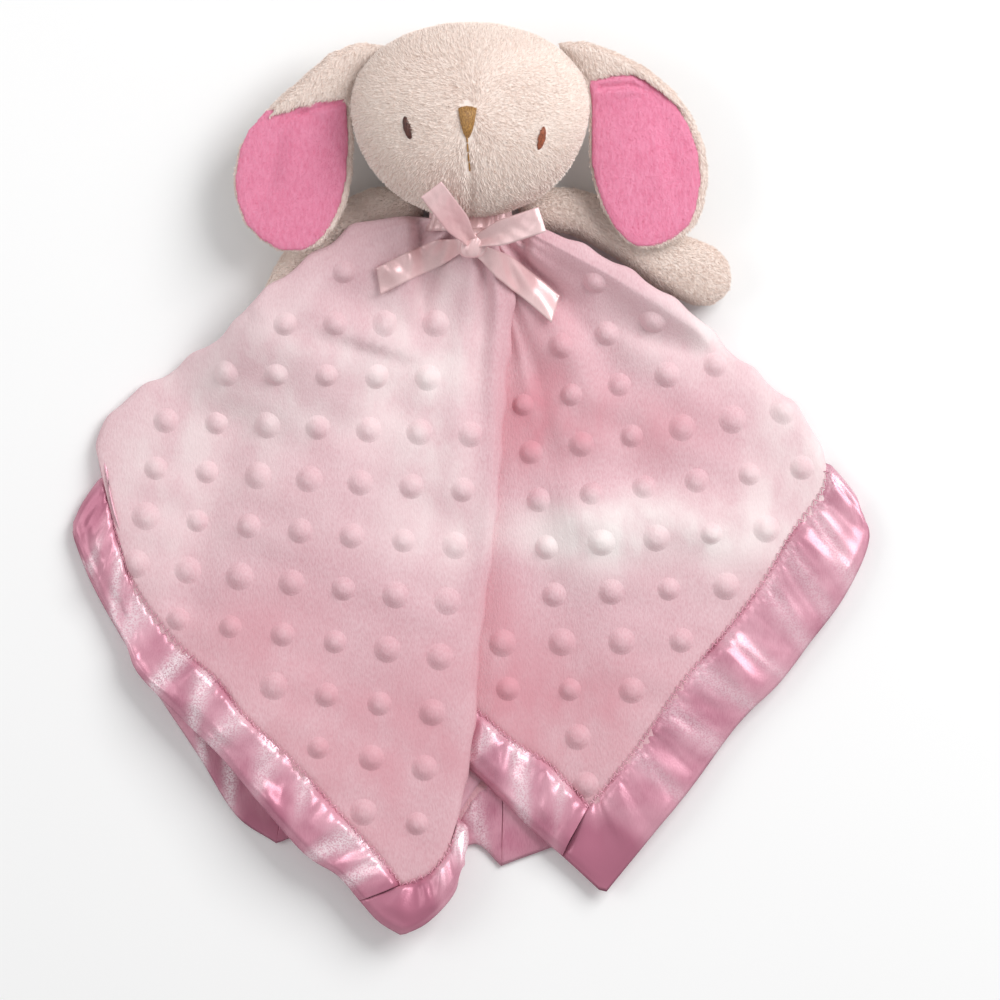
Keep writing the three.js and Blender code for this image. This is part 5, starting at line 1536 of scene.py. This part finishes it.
class Pile:
    """Covers plush pieces with combed blades of pile."""

    def __init__(self, shop: Shop) -> None:
        self.shop = shop
        self.tree = scatter_tree()

    def cover(
        self,
        base: bpy.types.Object,
        name: str,
        body: str,
        slot: Slot,
        comb: Callable[[Array], Array],
        nap: Nap,
        bare: Sequence = (),
    ) -> bpy.types.Object:
        """Makes the pile of one piece.

        Args:
            base: The piece that the pile stands on.
            name: The pile's own name.
            body: The body that it moves with.
            slot: The material slot.
            comb: Gives the way the pile lies at places on the piece.
            nap: How dense, how long and how flat the pile is.
            bare: Places in the plan, each with a reach, where no pile grows on the front.

        Returns:
            The pile's object.
        """
        obj = bpy.data.objects.new(name, base.data.copy())
        bpy.context.scene.collection.objects.link(obj)
        work = bmesh.new()
        work.from_mesh(obj.data)
        hidden = set()
        for face in work.faces:
            centre = face.calc_center_median()
            if face.normal.z > 0 and any(
                math.hypot(centre.x - x, centre.y - y) < reach for x, y, reach in bare
            ):
                hidden.add(face)
        bmesh.ops.delete(work, geom=list(hidden), context="FACES")
        work.to_mesh(obj.data)
        work.free()
        points, normals = places_of(obj), normals_of(obj)
        way = comb(points)
        store(obj, "comb", unit(way - normals * np.sum(way * normals, axis=1, keepdims=True)), True)
        blade = blade_shape("blade_shape", nap.length, nap.length * 0.2)
        self.tree.run(
            obj,
            blade=blade,
            density=nap.density,
            lean=nap.lean,
            seed=SEED + len(name),
            material=self.shop.material(slot),
        )
        bpy.data.objects.remove(blade)
        tips = places_of(obj)
        tips[:, 2] = np.maximum(tips[:, 2], 0.05 * MM)
        move_to(obj, tips)
        return self.shop.place(obj, body, slot)


class Head:
    """The stuffed head with its pile and its worked face."""

    BODY = "head"

    def __init__(self, shop: Shop, pile: Pile) -> None:
        self.shop = shop
        self.pile = pile
        self.low, self.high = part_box("head_skin")
        self.centre = (self.low + self.high) / 2

    def build(self) -> None:
        """Makes the head's pieces."""
        skin = copy_of("head_stuffing", "plush_head")
        swell_padding(skin, 4 * MM)
        blurred(skin, 3)
        divided(skin)
        fit_to(skin, self.low, self.high)
        self._seam(skin)
        self.shop.place(skin, self.BODY, Slot.PLUSH, "head_skin", "head_stuffing")
        self.tree = BVHTree.FromObject(skin, bpy.context.evaluated_depsgraph_get())
        self.pile.cover(
            skin, "head_pile", self.BODY, Slot.PLUSH, self._comb, SKIN_NAP, self._bare()
        )
        self._nose()
        self._mouth()
        self._eye("left", Slot.DARK)
        self._eye("right", Slot.RUSSET)

    @staticmethod
    def _bare() -> list[tuple[float, float, float]]:
        """Returns the places under the nose, the eyes and the mouth, each with a reach."""
        bare = []
        for node, slant, reach in (
            ("nose_embroidery", 0, 2.6 * MM),
            ("left_eye_embroidery", -1, 1.3 * MM),
            ("right_eye_embroidery", 1, 1.3 * MM),
        ):
            low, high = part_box(node)
            for t in np.linspace(0.12, 0.88, 6):
                x = (low.x + high.x) / 2 + slant * (t - 0.5) * (high.x - low.x) * 0.6
                bare.append((x, mix(low.y, high.y, t), reach))
        low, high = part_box("mouth_stitch")
        for y in np.linspace(low.y, high.y + 1 * MM, 6):
            bare.append(((low.x + high.x) / 2 - 0.1 * MM, y, 0.9 * MM))
        return bare

    def _seam(self, skin: bpy.types.Object) -> None:
        """Presses the shallow seam from under the mouth round the chin into the skin."""
        points = places_of(skin)
        across = bell((points[:, 0] - self.centre.x - 0.4 * MM) / (1.4 * MM))
        down = ease((self.centre.y - 12 * MM - points[:, 1]) / (6 * MM))
        above = ease((points[:, 2] - self.centre.z + 4 * MM) / (8 * MM))
        move_to(skin, points - normals_of(skin) * (0.9 * MM * across * down * above)[:, None])

    def _comb(self, points: Array) -> Array:
        """Returns the way the pile lies: away from the nose, in a swirl."""
        from_nose = points - np.array([self.centre.x, self.centre.y - 1 * MM, self.high.z])
        turn = 0.5 * Ripple(26 * MM, SEED + 4)(points[:, 0], points[:, 1])
        c, s = np.cos(turn), np.sin(turn)
        x, y = from_nose[:, 0], from_nose[:, 1]
        return np.stack([x * c - y * s, x * s + y * c - 4 * MM, from_nose[:, 2]], -1)

    def _lay(self, start: Array, end: Array, shares: Array) -> tuple[Array, Array]:
        """Returns places along a thread on the face, smoothed, and the normal at its middle."""
        spots = [mix(start, end, t) for t in (0.0, 0.5, 1.0)]
        hits = [self.tree.ray_cast((*spot, self.high.z + 0.1), (0, 0, -1)) for spot in spots]
        low, middle, far = (hit[0].z for hit in hits)
        z = low + shares * (4 * middle - 3 * low - far) + shares**2 * 2 * (low + far - 2 * middle)
        plan = start + shares[:, None] * (end - start)
        return np.column_stack([plan, z]), np.array(hits[1][1])

    def _threads(self, name: str, slot: Slot, node: str, lines: Sequence, radius: float) -> None:
        """Makes worked threads side by side on the face.

        Args:
            name: The piece's name.
            slot: The thread's material slot.
            node: The solid that the threads stand for.
            lines: Each thread's two ends in the plan and how far it arches.
            radius: Half a thread's thickness.
        """
        points, faces = [], []
        sides, steps = 8, 13
        shares = np.linspace(0, 1, steps)
        for start, end, high in lines:
            first = len(points)
            places, normal = self._lay(np.array(start), np.array(end), shares)
            away = np.abs(2 * shares - 1)
            arch = high * np.sqrt(1 - away**4) - 0.5 * MM * away**6 + 0.2 * MM
            size = radius * (0.5 + 0.5 * np.sqrt(1 - away**8))
            side = unit(np.cross(normal, np.array([end[0] - start[0], end[1] - start[1], 0.0])))
            for k in range(steps):
                centre = places[k] + normal * arch[k]
                for n in range(sides):
                    a = math.tau * n / sides
                    points.append(centre + size[k] * (math.cos(a) * side + math.sin(a) * normal))
            for k in range(steps - 1):
                for n in range(sides):
                    m = (n + 1) % sides
                    a, b = first + k * sides, first + (k + 1) * sides
                    faces.append((a + n, a + m, b + m, b + n))
            faces.append(tuple(first + n for n in range(sides))[::-1])
            faces.append(tuple(first + (steps - 1) * sides + n for n in range(sides)))
        obj = mesh_object(name, np.array(points), faces)
        work = bmesh.new()
        work.from_mesh(obj.data)
        bmesh.ops.recalc_face_normals(work, faces=work.faces)
        work.to_mesh(obj.data)
        work.free()
        obj.data.shade_smooth()
        self.shop.place(obj, self.BODY, slot, node)

    def _nose(self) -> None:
        """Makes the nose's threads, fanned out to its top."""
        low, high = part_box("nose_embroidery")
        middle, wide, tall = (low.x + high.x) / 2, high.x - low.x, high.y - low.y
        source = np.random.default_rng(SEED)
        lines, count = [], 17
        for k in range(count):
            share = 2 * k / (count - 1) - 1
            x = middle + share * wide / 2 * 0.93
            top = high.y - tall * 0.07 * share * share - source.uniform(0, 0.2) * MM
            foot = low.y - 1.2 * MM + tall * 0.36 * abs(share) ** 2.2 + source.uniform(0, 0.25) * MM
            high_line = 0.95 * MM * math.sqrt(1 - 0.75 * share * share)
            lines.append(((x, top), (mix(x, middle, 0.42), foot), high_line))
        self._threads("nose_threads", Slot.GOLD, "nose_embroidery", lines, 0.32 * MM)

    def _mouth(self) -> None:
        """Makes the mouth's row of stitches."""
        low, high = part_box("mouth_stitch")
        x = (low.x + high.x) / 2 - 0.3 * MM
        lines, stitches = [], 4
        for k in range(stitches):
            top = mix(high.y + 1 * MM, low.y, k / stitches)
            foot = mix(high.y + 1 * MM, low.y, (k + 1) / stitches)
            lines.append(((x + 0.25 * MM * k, top), (x + 0.25 * MM * (k + 1), foot), 0.1 * MM))
        self._threads("mouth_thread", Slot.GOLD, "mouth_stitch", lines, 0.3 * MM)

    def _eye(self, side: str, slot: Slot) -> None:
        """Makes one slanted eye's threads."""
        node = f"{side}_eye_embroidery"
        low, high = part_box(node)
        slant = -1 if side == "left" else 1
        inset = 1.0 * MM
        top = Vector((low.x + inset if slant < 0 else high.x - inset, high.y + 0.2 * MM))
        foot = Vector((high.x - inset if slant < 0 else low.x + inset, low.y - 0.2 * MM))
        way = (foot - top).normalized()
        across = Vector((-way.y, way.x))
        lines, count = [], 9
        for k in range(count):
            share = 2 * k / (count - 1) - 1
            pull = 0.45 * (1 - math.sqrt(max(0.0, 1 - share * share * 0.97)))
            offset = across * share * 1.05 * MM
            start, end = top.lerp(foot, pull) + offset, foot.lerp(top, pull) + offset
            lines.append((tuple(start), tuple(end), 0.5 * MM * math.sqrt(1 - 0.7 * share * share)))
        self._threads(f"{side}_eye_threads", slot, node, lines, 0.27 * MM)


# The way along X from the head's middle on each side
OUTWARDS = {"left": -1.0, "right": 1.0}


class Limb:
    """A plush piece on one side of the head, with a body of its own."""

    KIND = ""

    def __init__(self, shop: Shop, pile: Pile, side: str) -> None:
        self.shop = shop
        self.pile = pile
        self.side = side
        self.body = f"{side}_{self.KIND}"

    def _comb(self, points: Array) -> Array:
        """Returns the way the pile lies at places on the piece."""
        raise NotImplementedError

    def _cover(self, base: bpy.types.Object, name: str, slot: Slot, nap: Nap) -> None:
        """Gives a piece its combed pile."""
        self.pile.cover(base, f"{self.body}_{name}", self.body, slot, self._comb, nap)


class Ear(Limb):
    """A lop ear: a plush back whose top folds over, with its pink lining and their pile."""

    KIND = "ear"
    # The place from which each lining is spread, and how far across and down
    SPREAD = {"left": ((0.306, 0.106), (1.08, 1.05)), "right": ((0.698, 0.08), (1.06, 1.04))}
    # The left ear's foot, held clear of the blanket's shoulder beside it
    FOOT = (0.29, 0.25)
    LIFTED = 2.4 * MM
    CREASE = {
        "left": ((0.3475, 0.1035), (0.32, 0.109), (0.297, 0.1165), (0.2775, 0.126), (0.267, 0.137)),
        "right": ((0.6, 0.0895), (0.63, 0.0865), (0.65, 0.093), (0.6635, 0.106), (0.672, 0.13)),
    }

    def build(self) -> None:
        """Makes the ear's pieces."""
        plush = self._soft(f"{self.body}_plush", f"{self.body}_back", 0.9 * MM, 6)
        self.shop.place(plush, self.body, Slot.PLUSH, f"{self.body}_plush")
        self._cover(plush, "pile", Slot.PLUSH, EAR_NAP)
        lining = self._soft(f"{self.body}_lining", f"{self.body}_inside", 0.7 * MM, 4)
        self._fill_out(lining)
        self.shop.place(lining, self.body, Slot.EAR, f"{self.body}_lining")
        self._cover(lining, "inside_pile", Slot.EAR, LINING_NAP)

    def _fill_out(self, lining: bpy.types.Object) -> None:
        """Spreads the lining to the ear's rim, with the crease where the ear's top turns over."""
        hold, spread = self.SPREAD[self.side]
        hold = on_chart(hold)
        crease = on_chart(self.CREASE[self.side])
        points = places_of(lining)
        points[:, :2] = hold + (points[:, :2] - hold) * spread
        away = nearest(crease, points[:, 0], points[:, 1])[0]
        middle = points[:, :2].mean(axis=0)
        within = np.hypot(*(points[:, :2] - middle).T)
        edge = np.hypot(*(crease - middle).T).mean()
        front = ease((points[:, 2] - points[:, 2].mean()) / MM + 0.5)
        roll = 1.0 * MM * ease((within - edge) / (3 * MM) + 0.5) * bell(away / (7 * MM))
        puff = 2.0 * MM * (1 - ease(within / (26 * MM)))
        points[:, 2] += front * (puff + roll - 1.3 * MM * bell(away / (1.1 * MM)))
        move_to(lining, points)

    def _soft(self, node: str, name: str, voxel: float, rounds: int) -> bpy.types.Object:
        """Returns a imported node's form evened out, with the left ear's foot lifted."""
        obj = copy_of(node, name)
        remeshed(obj, voxel)
        blurred(obj, rounds)
        fit_to(obj, *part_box(node))
        if self.side == "left":
            foot = on_chart(self.FOOT)[1]
            points = places_of(obj)
            points[:, 2] += self.LIFTED * (1 - ease((points[:, 1] - foot) / (26 * MM)))
            move_to(obj, points)
        obj.data.shade_smooth()
        return obj

    def _comb(self, points: Array) -> Array:
        """Returns the way the pile lies: down and outwards, drifting a little."""
        out = np.zeros_like(points)
        drift = Ripple(30 * MM, SEED + 6)(points[:, 0], points[:, 1])
        out[:, 0] = OUTWARDS[self.side] * (0.55 + 0.3 * drift)
        out[:, 1] = -1.0
        return out


class Arm(Limb):
    """A stuffed arm that lies beside the head, with its pile."""

    KIND = "arm"

    def build(self) -> None:
        """Makes the arm's pieces."""
        skin_node, padding = f"{self.body}_skin", f"{self.body}_stuffing"
        skin = copy_of(padding, f"plush_{self.body}")
        swell_padding(skin, 2.4 * MM)
        blurred(skin, 2)
        fit_to(skin, *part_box(skin_node))
        self.shop.place(skin, self.body, Slot.PLUSH, skin_node, padding)
        self._cover(skin, "pile", Slot.PLUSH, SKIN_NAP)

    def _comb(self, points: Array) -> Array:
        """Returns the way the pile lies: outwards and a little down."""
        return np.full_like(points, (OUTWARDS[self.side], -0.45, 0.0))


# The bow and the neck


@dataclass(frozen=True)
class BowSizes:
    """The ribbon bow's sizes and the ways its loops point."""

    width: float = 9 * MM
    flat_width: float = 10 * MM
    thick: float = 0.5 * MM
    left_length: float = 41 * MM
    right_length: float = 28 * MM
    left_turn: float = math.radians(128)
    right_turn: float = math.radians(18)
    left_rise: float = math.radians(58)
    right_rise: float = math.radians(30)
    opening: float = 4.6 * MM


# A loop's upper outline from the knot, as shares of its length and its opening
LOOP_OUTLINE = (
    (0.0, 0.1), (0.14, 0.24), (0.35, 0.42), (0.6, 0.5), (0.8, 0.46), (0.94, 0.3), (1.0, 0.0),
)
# The tails' middle lines from the knot, in widths of the ribbon
LEFT_TAIL = ((-0.3, -0.05), (-1.2, -0.34), (-1.95, -0.66), (-2.75, -1.04), (-3.62, -1.5))
RIGHT_TAIL = ((0.3, -0.3), (1.15, -0.86), (1.8, -1.36), (2.5, -1.9), (3.25, -2.55))


class Bow:
    """The small satin bow at the neck, and the ribbon round the gather."""

    def __init__(self, shop: Shop, sizes: BowSizes) -> None:
        self.shop = shop
        self.sizes = sizes
        low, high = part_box("bow_knot")
        self.knot = (low + high) / 2
        self.half = (high - low) / 2

    def build(self, cloth: Sequence[bpy.types.Object]) -> None:
        """Makes the bow's pieces and the band, the tails lying on the cloth."""
        graph = bpy.context.evaluated_depsgraph_get()
        self.cloth = [BVHTree.FromObject(piece, graph) for piece in cloth]
        sizes = self.sizes
        pieces = [
            self._loop("left", sizes.left_length, sizes.left_turn, sizes.left_rise),
            self._loop("right", sizes.right_length, sizes.right_turn, sizes.right_rise),
            self._tail("left", LEFT_TAIL, 0.35, 0.35),
            self._tail("right", RIGHT_TAIL, -0.25, -0.45),
        ]
        self._knot()
        self._band()

    def _ribbon(self, name: str, node: str, points: Array, closed: bool) -> bpy.types.Object:
        """Makes a ribbon from rows of places across it, with its thickness."""
        obj = mesh_object(name, points.reshape(-1, 3), grid_faces(*points.shape[:2], closed))
        thicken(obj, self.sizes.thick, 0.0)
        return self.shop.place(obj, "blanket", Slot.BOW, node)

    def _loop(self, side: str, length: float, turn: float, rise: float) -> bpy.types.Object:
        """Makes a loop: the outline's upper half, then its lower half back to the knot."""
        sizes = self.sizes
        outline = Line(np.array(LOOP_OUTLINE))
        steps = outline.share(np.linspace(0, 1, 40))
        upper = np.stack([steps[:, 0] * length, steps[:, 1] * sizes.opening], -1)
        lower = upper[::-1][1:] * (1, -1)
        path = np.concatenate([upper, lower])
        level = math.cos(rise)
        out = np.array([math.cos(turn) * level, math.sin(turn) * level, math.sin(rise)])
        wide = np.array([-math.sin(turn), math.cos(turn), 0.0])
        above = np.cross(wide, out)
        across = np.linspace(-0.5, 0.5, 15)
        crease = Ripple(7 * MM, SEED + len(side))
        rows = []
        for u, v in path:
            spread = mix(0.5, 1.0, ease(u / (length * 0.5)))
            bend = 0.5 * MM * np.cos(across * math.tau) * (1 - ease(u / length))
            fold = 0.1 * MM * crease(np.full(15, u * 2), across * sizes.width * 3)
            place = np.array(self.knot) + out * (u + 0.5 * self.half.z)
            row = place + wide * (across * sizes.width * spread)[:, None]
            rows.append(row + above * (v + bend + fold * np.sign(v + 1e-9))[:, None])
        return self._ribbon(f"bow_loop_{side}", f"bow_{side}_loop", np.array(rows), False)

    def _tail(self, side: str, shares: Sequence, curl: float, slant: float) -> bpy.types.Object:
        """Makes a tail that lies on the cloth, curled across and cut at a slant."""
        sizes = self.sizes
        line = Line(np.array(shares) * sizes.width + np.array([self.knot.x, self.knot.y]))
        steps = line.share(np.linspace(0, 1, 44))
        ways = unit(np.gradient(steps, axis=0))
        across = np.linspace(-0.5, 0.5, 13)
        rows = []
        for k, (spot, way) in enumerate(zip(steps, ways)):
            t = k / (len(steps) - 1)
            side_way = np.array([-way[1], way[0]])
            spread = mix(0.55, 1.0, ease(t * 3.0))
            row = []
            for a in across:
                skew = way * slant * ease((t - 0.6) / 0.4)
                x, y = spot + (side_way * spread + skew) * a * sizes.width
                hits = [tree.ray_cast((x, y, RAY_START), (0, 0, -1))[0] for tree in self.cloth]
                ground = max((hit.z for hit in hits if hit), default=self.knot.z - self.half.z)
                wave = 0.9 * MM * math.sin(t * 9.0 + a * 2.0) * ease(t * 2)
                cup = curl * 2.4 * MM * (a * 2) ** 2 * ease(t * 1.4)
                lying = ground + 1.0 * MM + abs(wave) + abs(cup)
                z = mix(self.knot.z - 1 * MM, lying, ease(t * 4.5))
                row.append((x, y, max(z, ground + 0.5 * MM)))
            rows.append(row)
        points = np.array(rows)
        points[:, :, 2] = self._even(points[:, :, 2])
        return self._ribbon(f"bow_tail_{side}", f"bow_{side}_tail", points, False)

    @staticmethod
    def _even(z: Array) -> Array:
        """Returns heights evened out along and across a ribbon, never lower than they were."""
        for _ in range(6):
            wide = np.pad(z, 1, mode="edge")
            along = wide[:-2, 1:-1] + wide[2:, 1:-1]
            z = np.maximum(z, (along + wide[1:-1, :-2] + wide[1:-1, 2:]) / 4)
        return z

    def _knot(self) -> None:
        """Makes the knot: a short fat turn of ribbon drawn into pleats."""
        sides, rings = 72, 26
        points = []
        for k in range(rings):
            v = math.pi * (k + 0.5) / rings - math.pi / 2
            pinch = 1 - 0.12 * bell((v + 0.1) / 0.5)
            thin = math.cos(v) ** 0.7
            for n in range(sides):
                a = math.tau * n / sides
                pleat = 1 + 0.07 * math.sin(9 * a + 2.2 * math.sin(v * 2)) * math.cos(v) ** 0.5
                x = self.half.x * pleat * pinch * math.cos(a) * thin
                z = self.half.z * pleat * math.sin(a) * thin
                points.append(self.knot + Vector((x, self.half.y * math.sin(v), z)))
        faces = tube_faces(rings, sides)
        faces.append(tuple(range(sides)))
        faces.append(tuple(range((rings - 1) * sides, rings * sides))[::-1])
        obj = mesh_object("bow_knot_gathers", np.array(points), faces)
        self.shop.place(obj, "blanket", Slot.BOW, "bow_knot")

    def _band(self) -> None:
        """Makes the ribbon round the gathered neck, with the gather's core inside it."""
        low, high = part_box("neck_ribbon")
        middle = (low + high) / 2
        sides, rings = 120, 9
        points = []
        for v in np.linspace(0, 1, rings):
            y = mix(low.y - 3.5 * MM, high.y, v)
            flare = 1.5 * MM * (1 - ease(v / 0.5))
            for n in range(sides):
                a = math.tau * n / sides
                pleat = 0.35 * MM * math.sin(23 * a + 3 * v) + 0.25 * MM * math.sin(math.pi * v)
                wide = (high.x - low.x) / 2 - 0.6 * MM + pleat + flare
                deep = (high.z - low.z) / 2 - 0.6 * MM + pleat + flare
                points.append((middle.x + wide * math.cos(a), y, middle.z + deep * math.sin(a)))
        faces = grid_faces(rings, sides, False)
        for k in range(rings - 1):
            last, ahead = (k + 1) * sides - 1, (k + 2) * sides - 1
            faces.append((last, ahead, (k + 1) * sides, k * sides))
        obj = mesh_object("neck_band", np.array(points), faces)
        thicken(obj, 0.6 * MM)
        self.shop.place(obj, "blanket", Slot.BOW, "neck_ribbon")
        core = copy_of("neck_core", "neck_gather")
        remeshed(core, 0.8 * MM)
        self.shop.place(core, "blanket", Slot.MINKY, "neck_core")


# The studio


class Studio:
    """The pale floor, the soft light and the camera over the lovey."""

    CHART_MIDDLE = (0.5, 0.5)
    DISTANCE = 6.0
    FLOOR_REACH = 3.0
    SENSOR = 36.0

    def build(self) -> None:
        """Makes the floor, the lights and the camera."""
        middle = on_chart(self.CHART_MIDDLE)
        corners = np.array([(-1, -1, 0), (1, -1, 0), (1, 1, 0), (-1, 1, 0)]) * self.FLOOR_REACH
        floor = mesh_object("floor", corners, [(0, 1, 2, 3)])
        n = Nodes("pale floor")
        colour = n.ramp(n.noise(3.0), ((0.3, srgb(248, 248, 248)), (0.7, srgb(250, 250, 250))))
        floor.data.materials.append(n.finish({"Base Color": colour, "Roughness": 0.9}))
        self._light("key", (0.83, 0.67, 1.0), 0.9, 16.8, middle)
        self._light("edge", (-0.9, 0.15, 0.75), 0.6, 2.6, middle)
        world = bpy.data.worlds.new("studio")
        world.use_nodes = True
        background = world.node_tree.nodes["Background"].inputs
        background["Color"].default_value = (1.0, 1.0, 1.0, 1.0)
        background["Strength"].default_value = 0.45
        scene = bpy.context.scene
        scene.world = world
        scene.view_settings.view_transform = "Standard"
        data = bpy.data.cameras.new("camera")
        data.sensor_width = self.SENSOR
        data.lens = self.SENSOR * self.DISTANCE / CHART_SIDE
        data.clip_end = 20.0
        camera = bpy.data.objects.new("camera", data)
        camera.location = (*middle, self.DISTANCE)
        scene.collection.objects.link(camera)
        scene.camera = camera

    def _light(self, name: str, offset: tuple, size: float, power: float, middle: Array) -> None:
        """Adds a square lamp that looks at the middle from an offset."""
        data = bpy.data.lights.new(name, "AREA")
        data.size, data.energy = size, power
        light = bpy.data.objects.new(name, data)
        light.location = Vector((*middle, 0.0)) + Vector(offset)
        light.rotation_euler = Vector(offset).to_track_quat("Z", "Y").to_euler()
        bpy.context.scene.collection.objects.link(light)


def main() -> None:
    """Builds the lovey and its studio."""
    logging.basicConfig(level=logging.INFO, format="%(message)s")
    shop = Shop()
    pile = Pile(shop)
    blanket = Blanket(shop, ClothSizes())
    blanket.build()
    LOG.info("blanket done")
    Head(shop, pile).build()
    for side in ("left", "right"):
        Ear(shop, pile, side).build()
        Arm(shop, pile, side).build()
    LOG.info("rabbit done")
    Bow(shop, BowSizes()).build([bpy.data.objects[name] for name in ("minky_square", "minky_dots")])
    Studio().build()


if __name__ == "__main__":
    main()
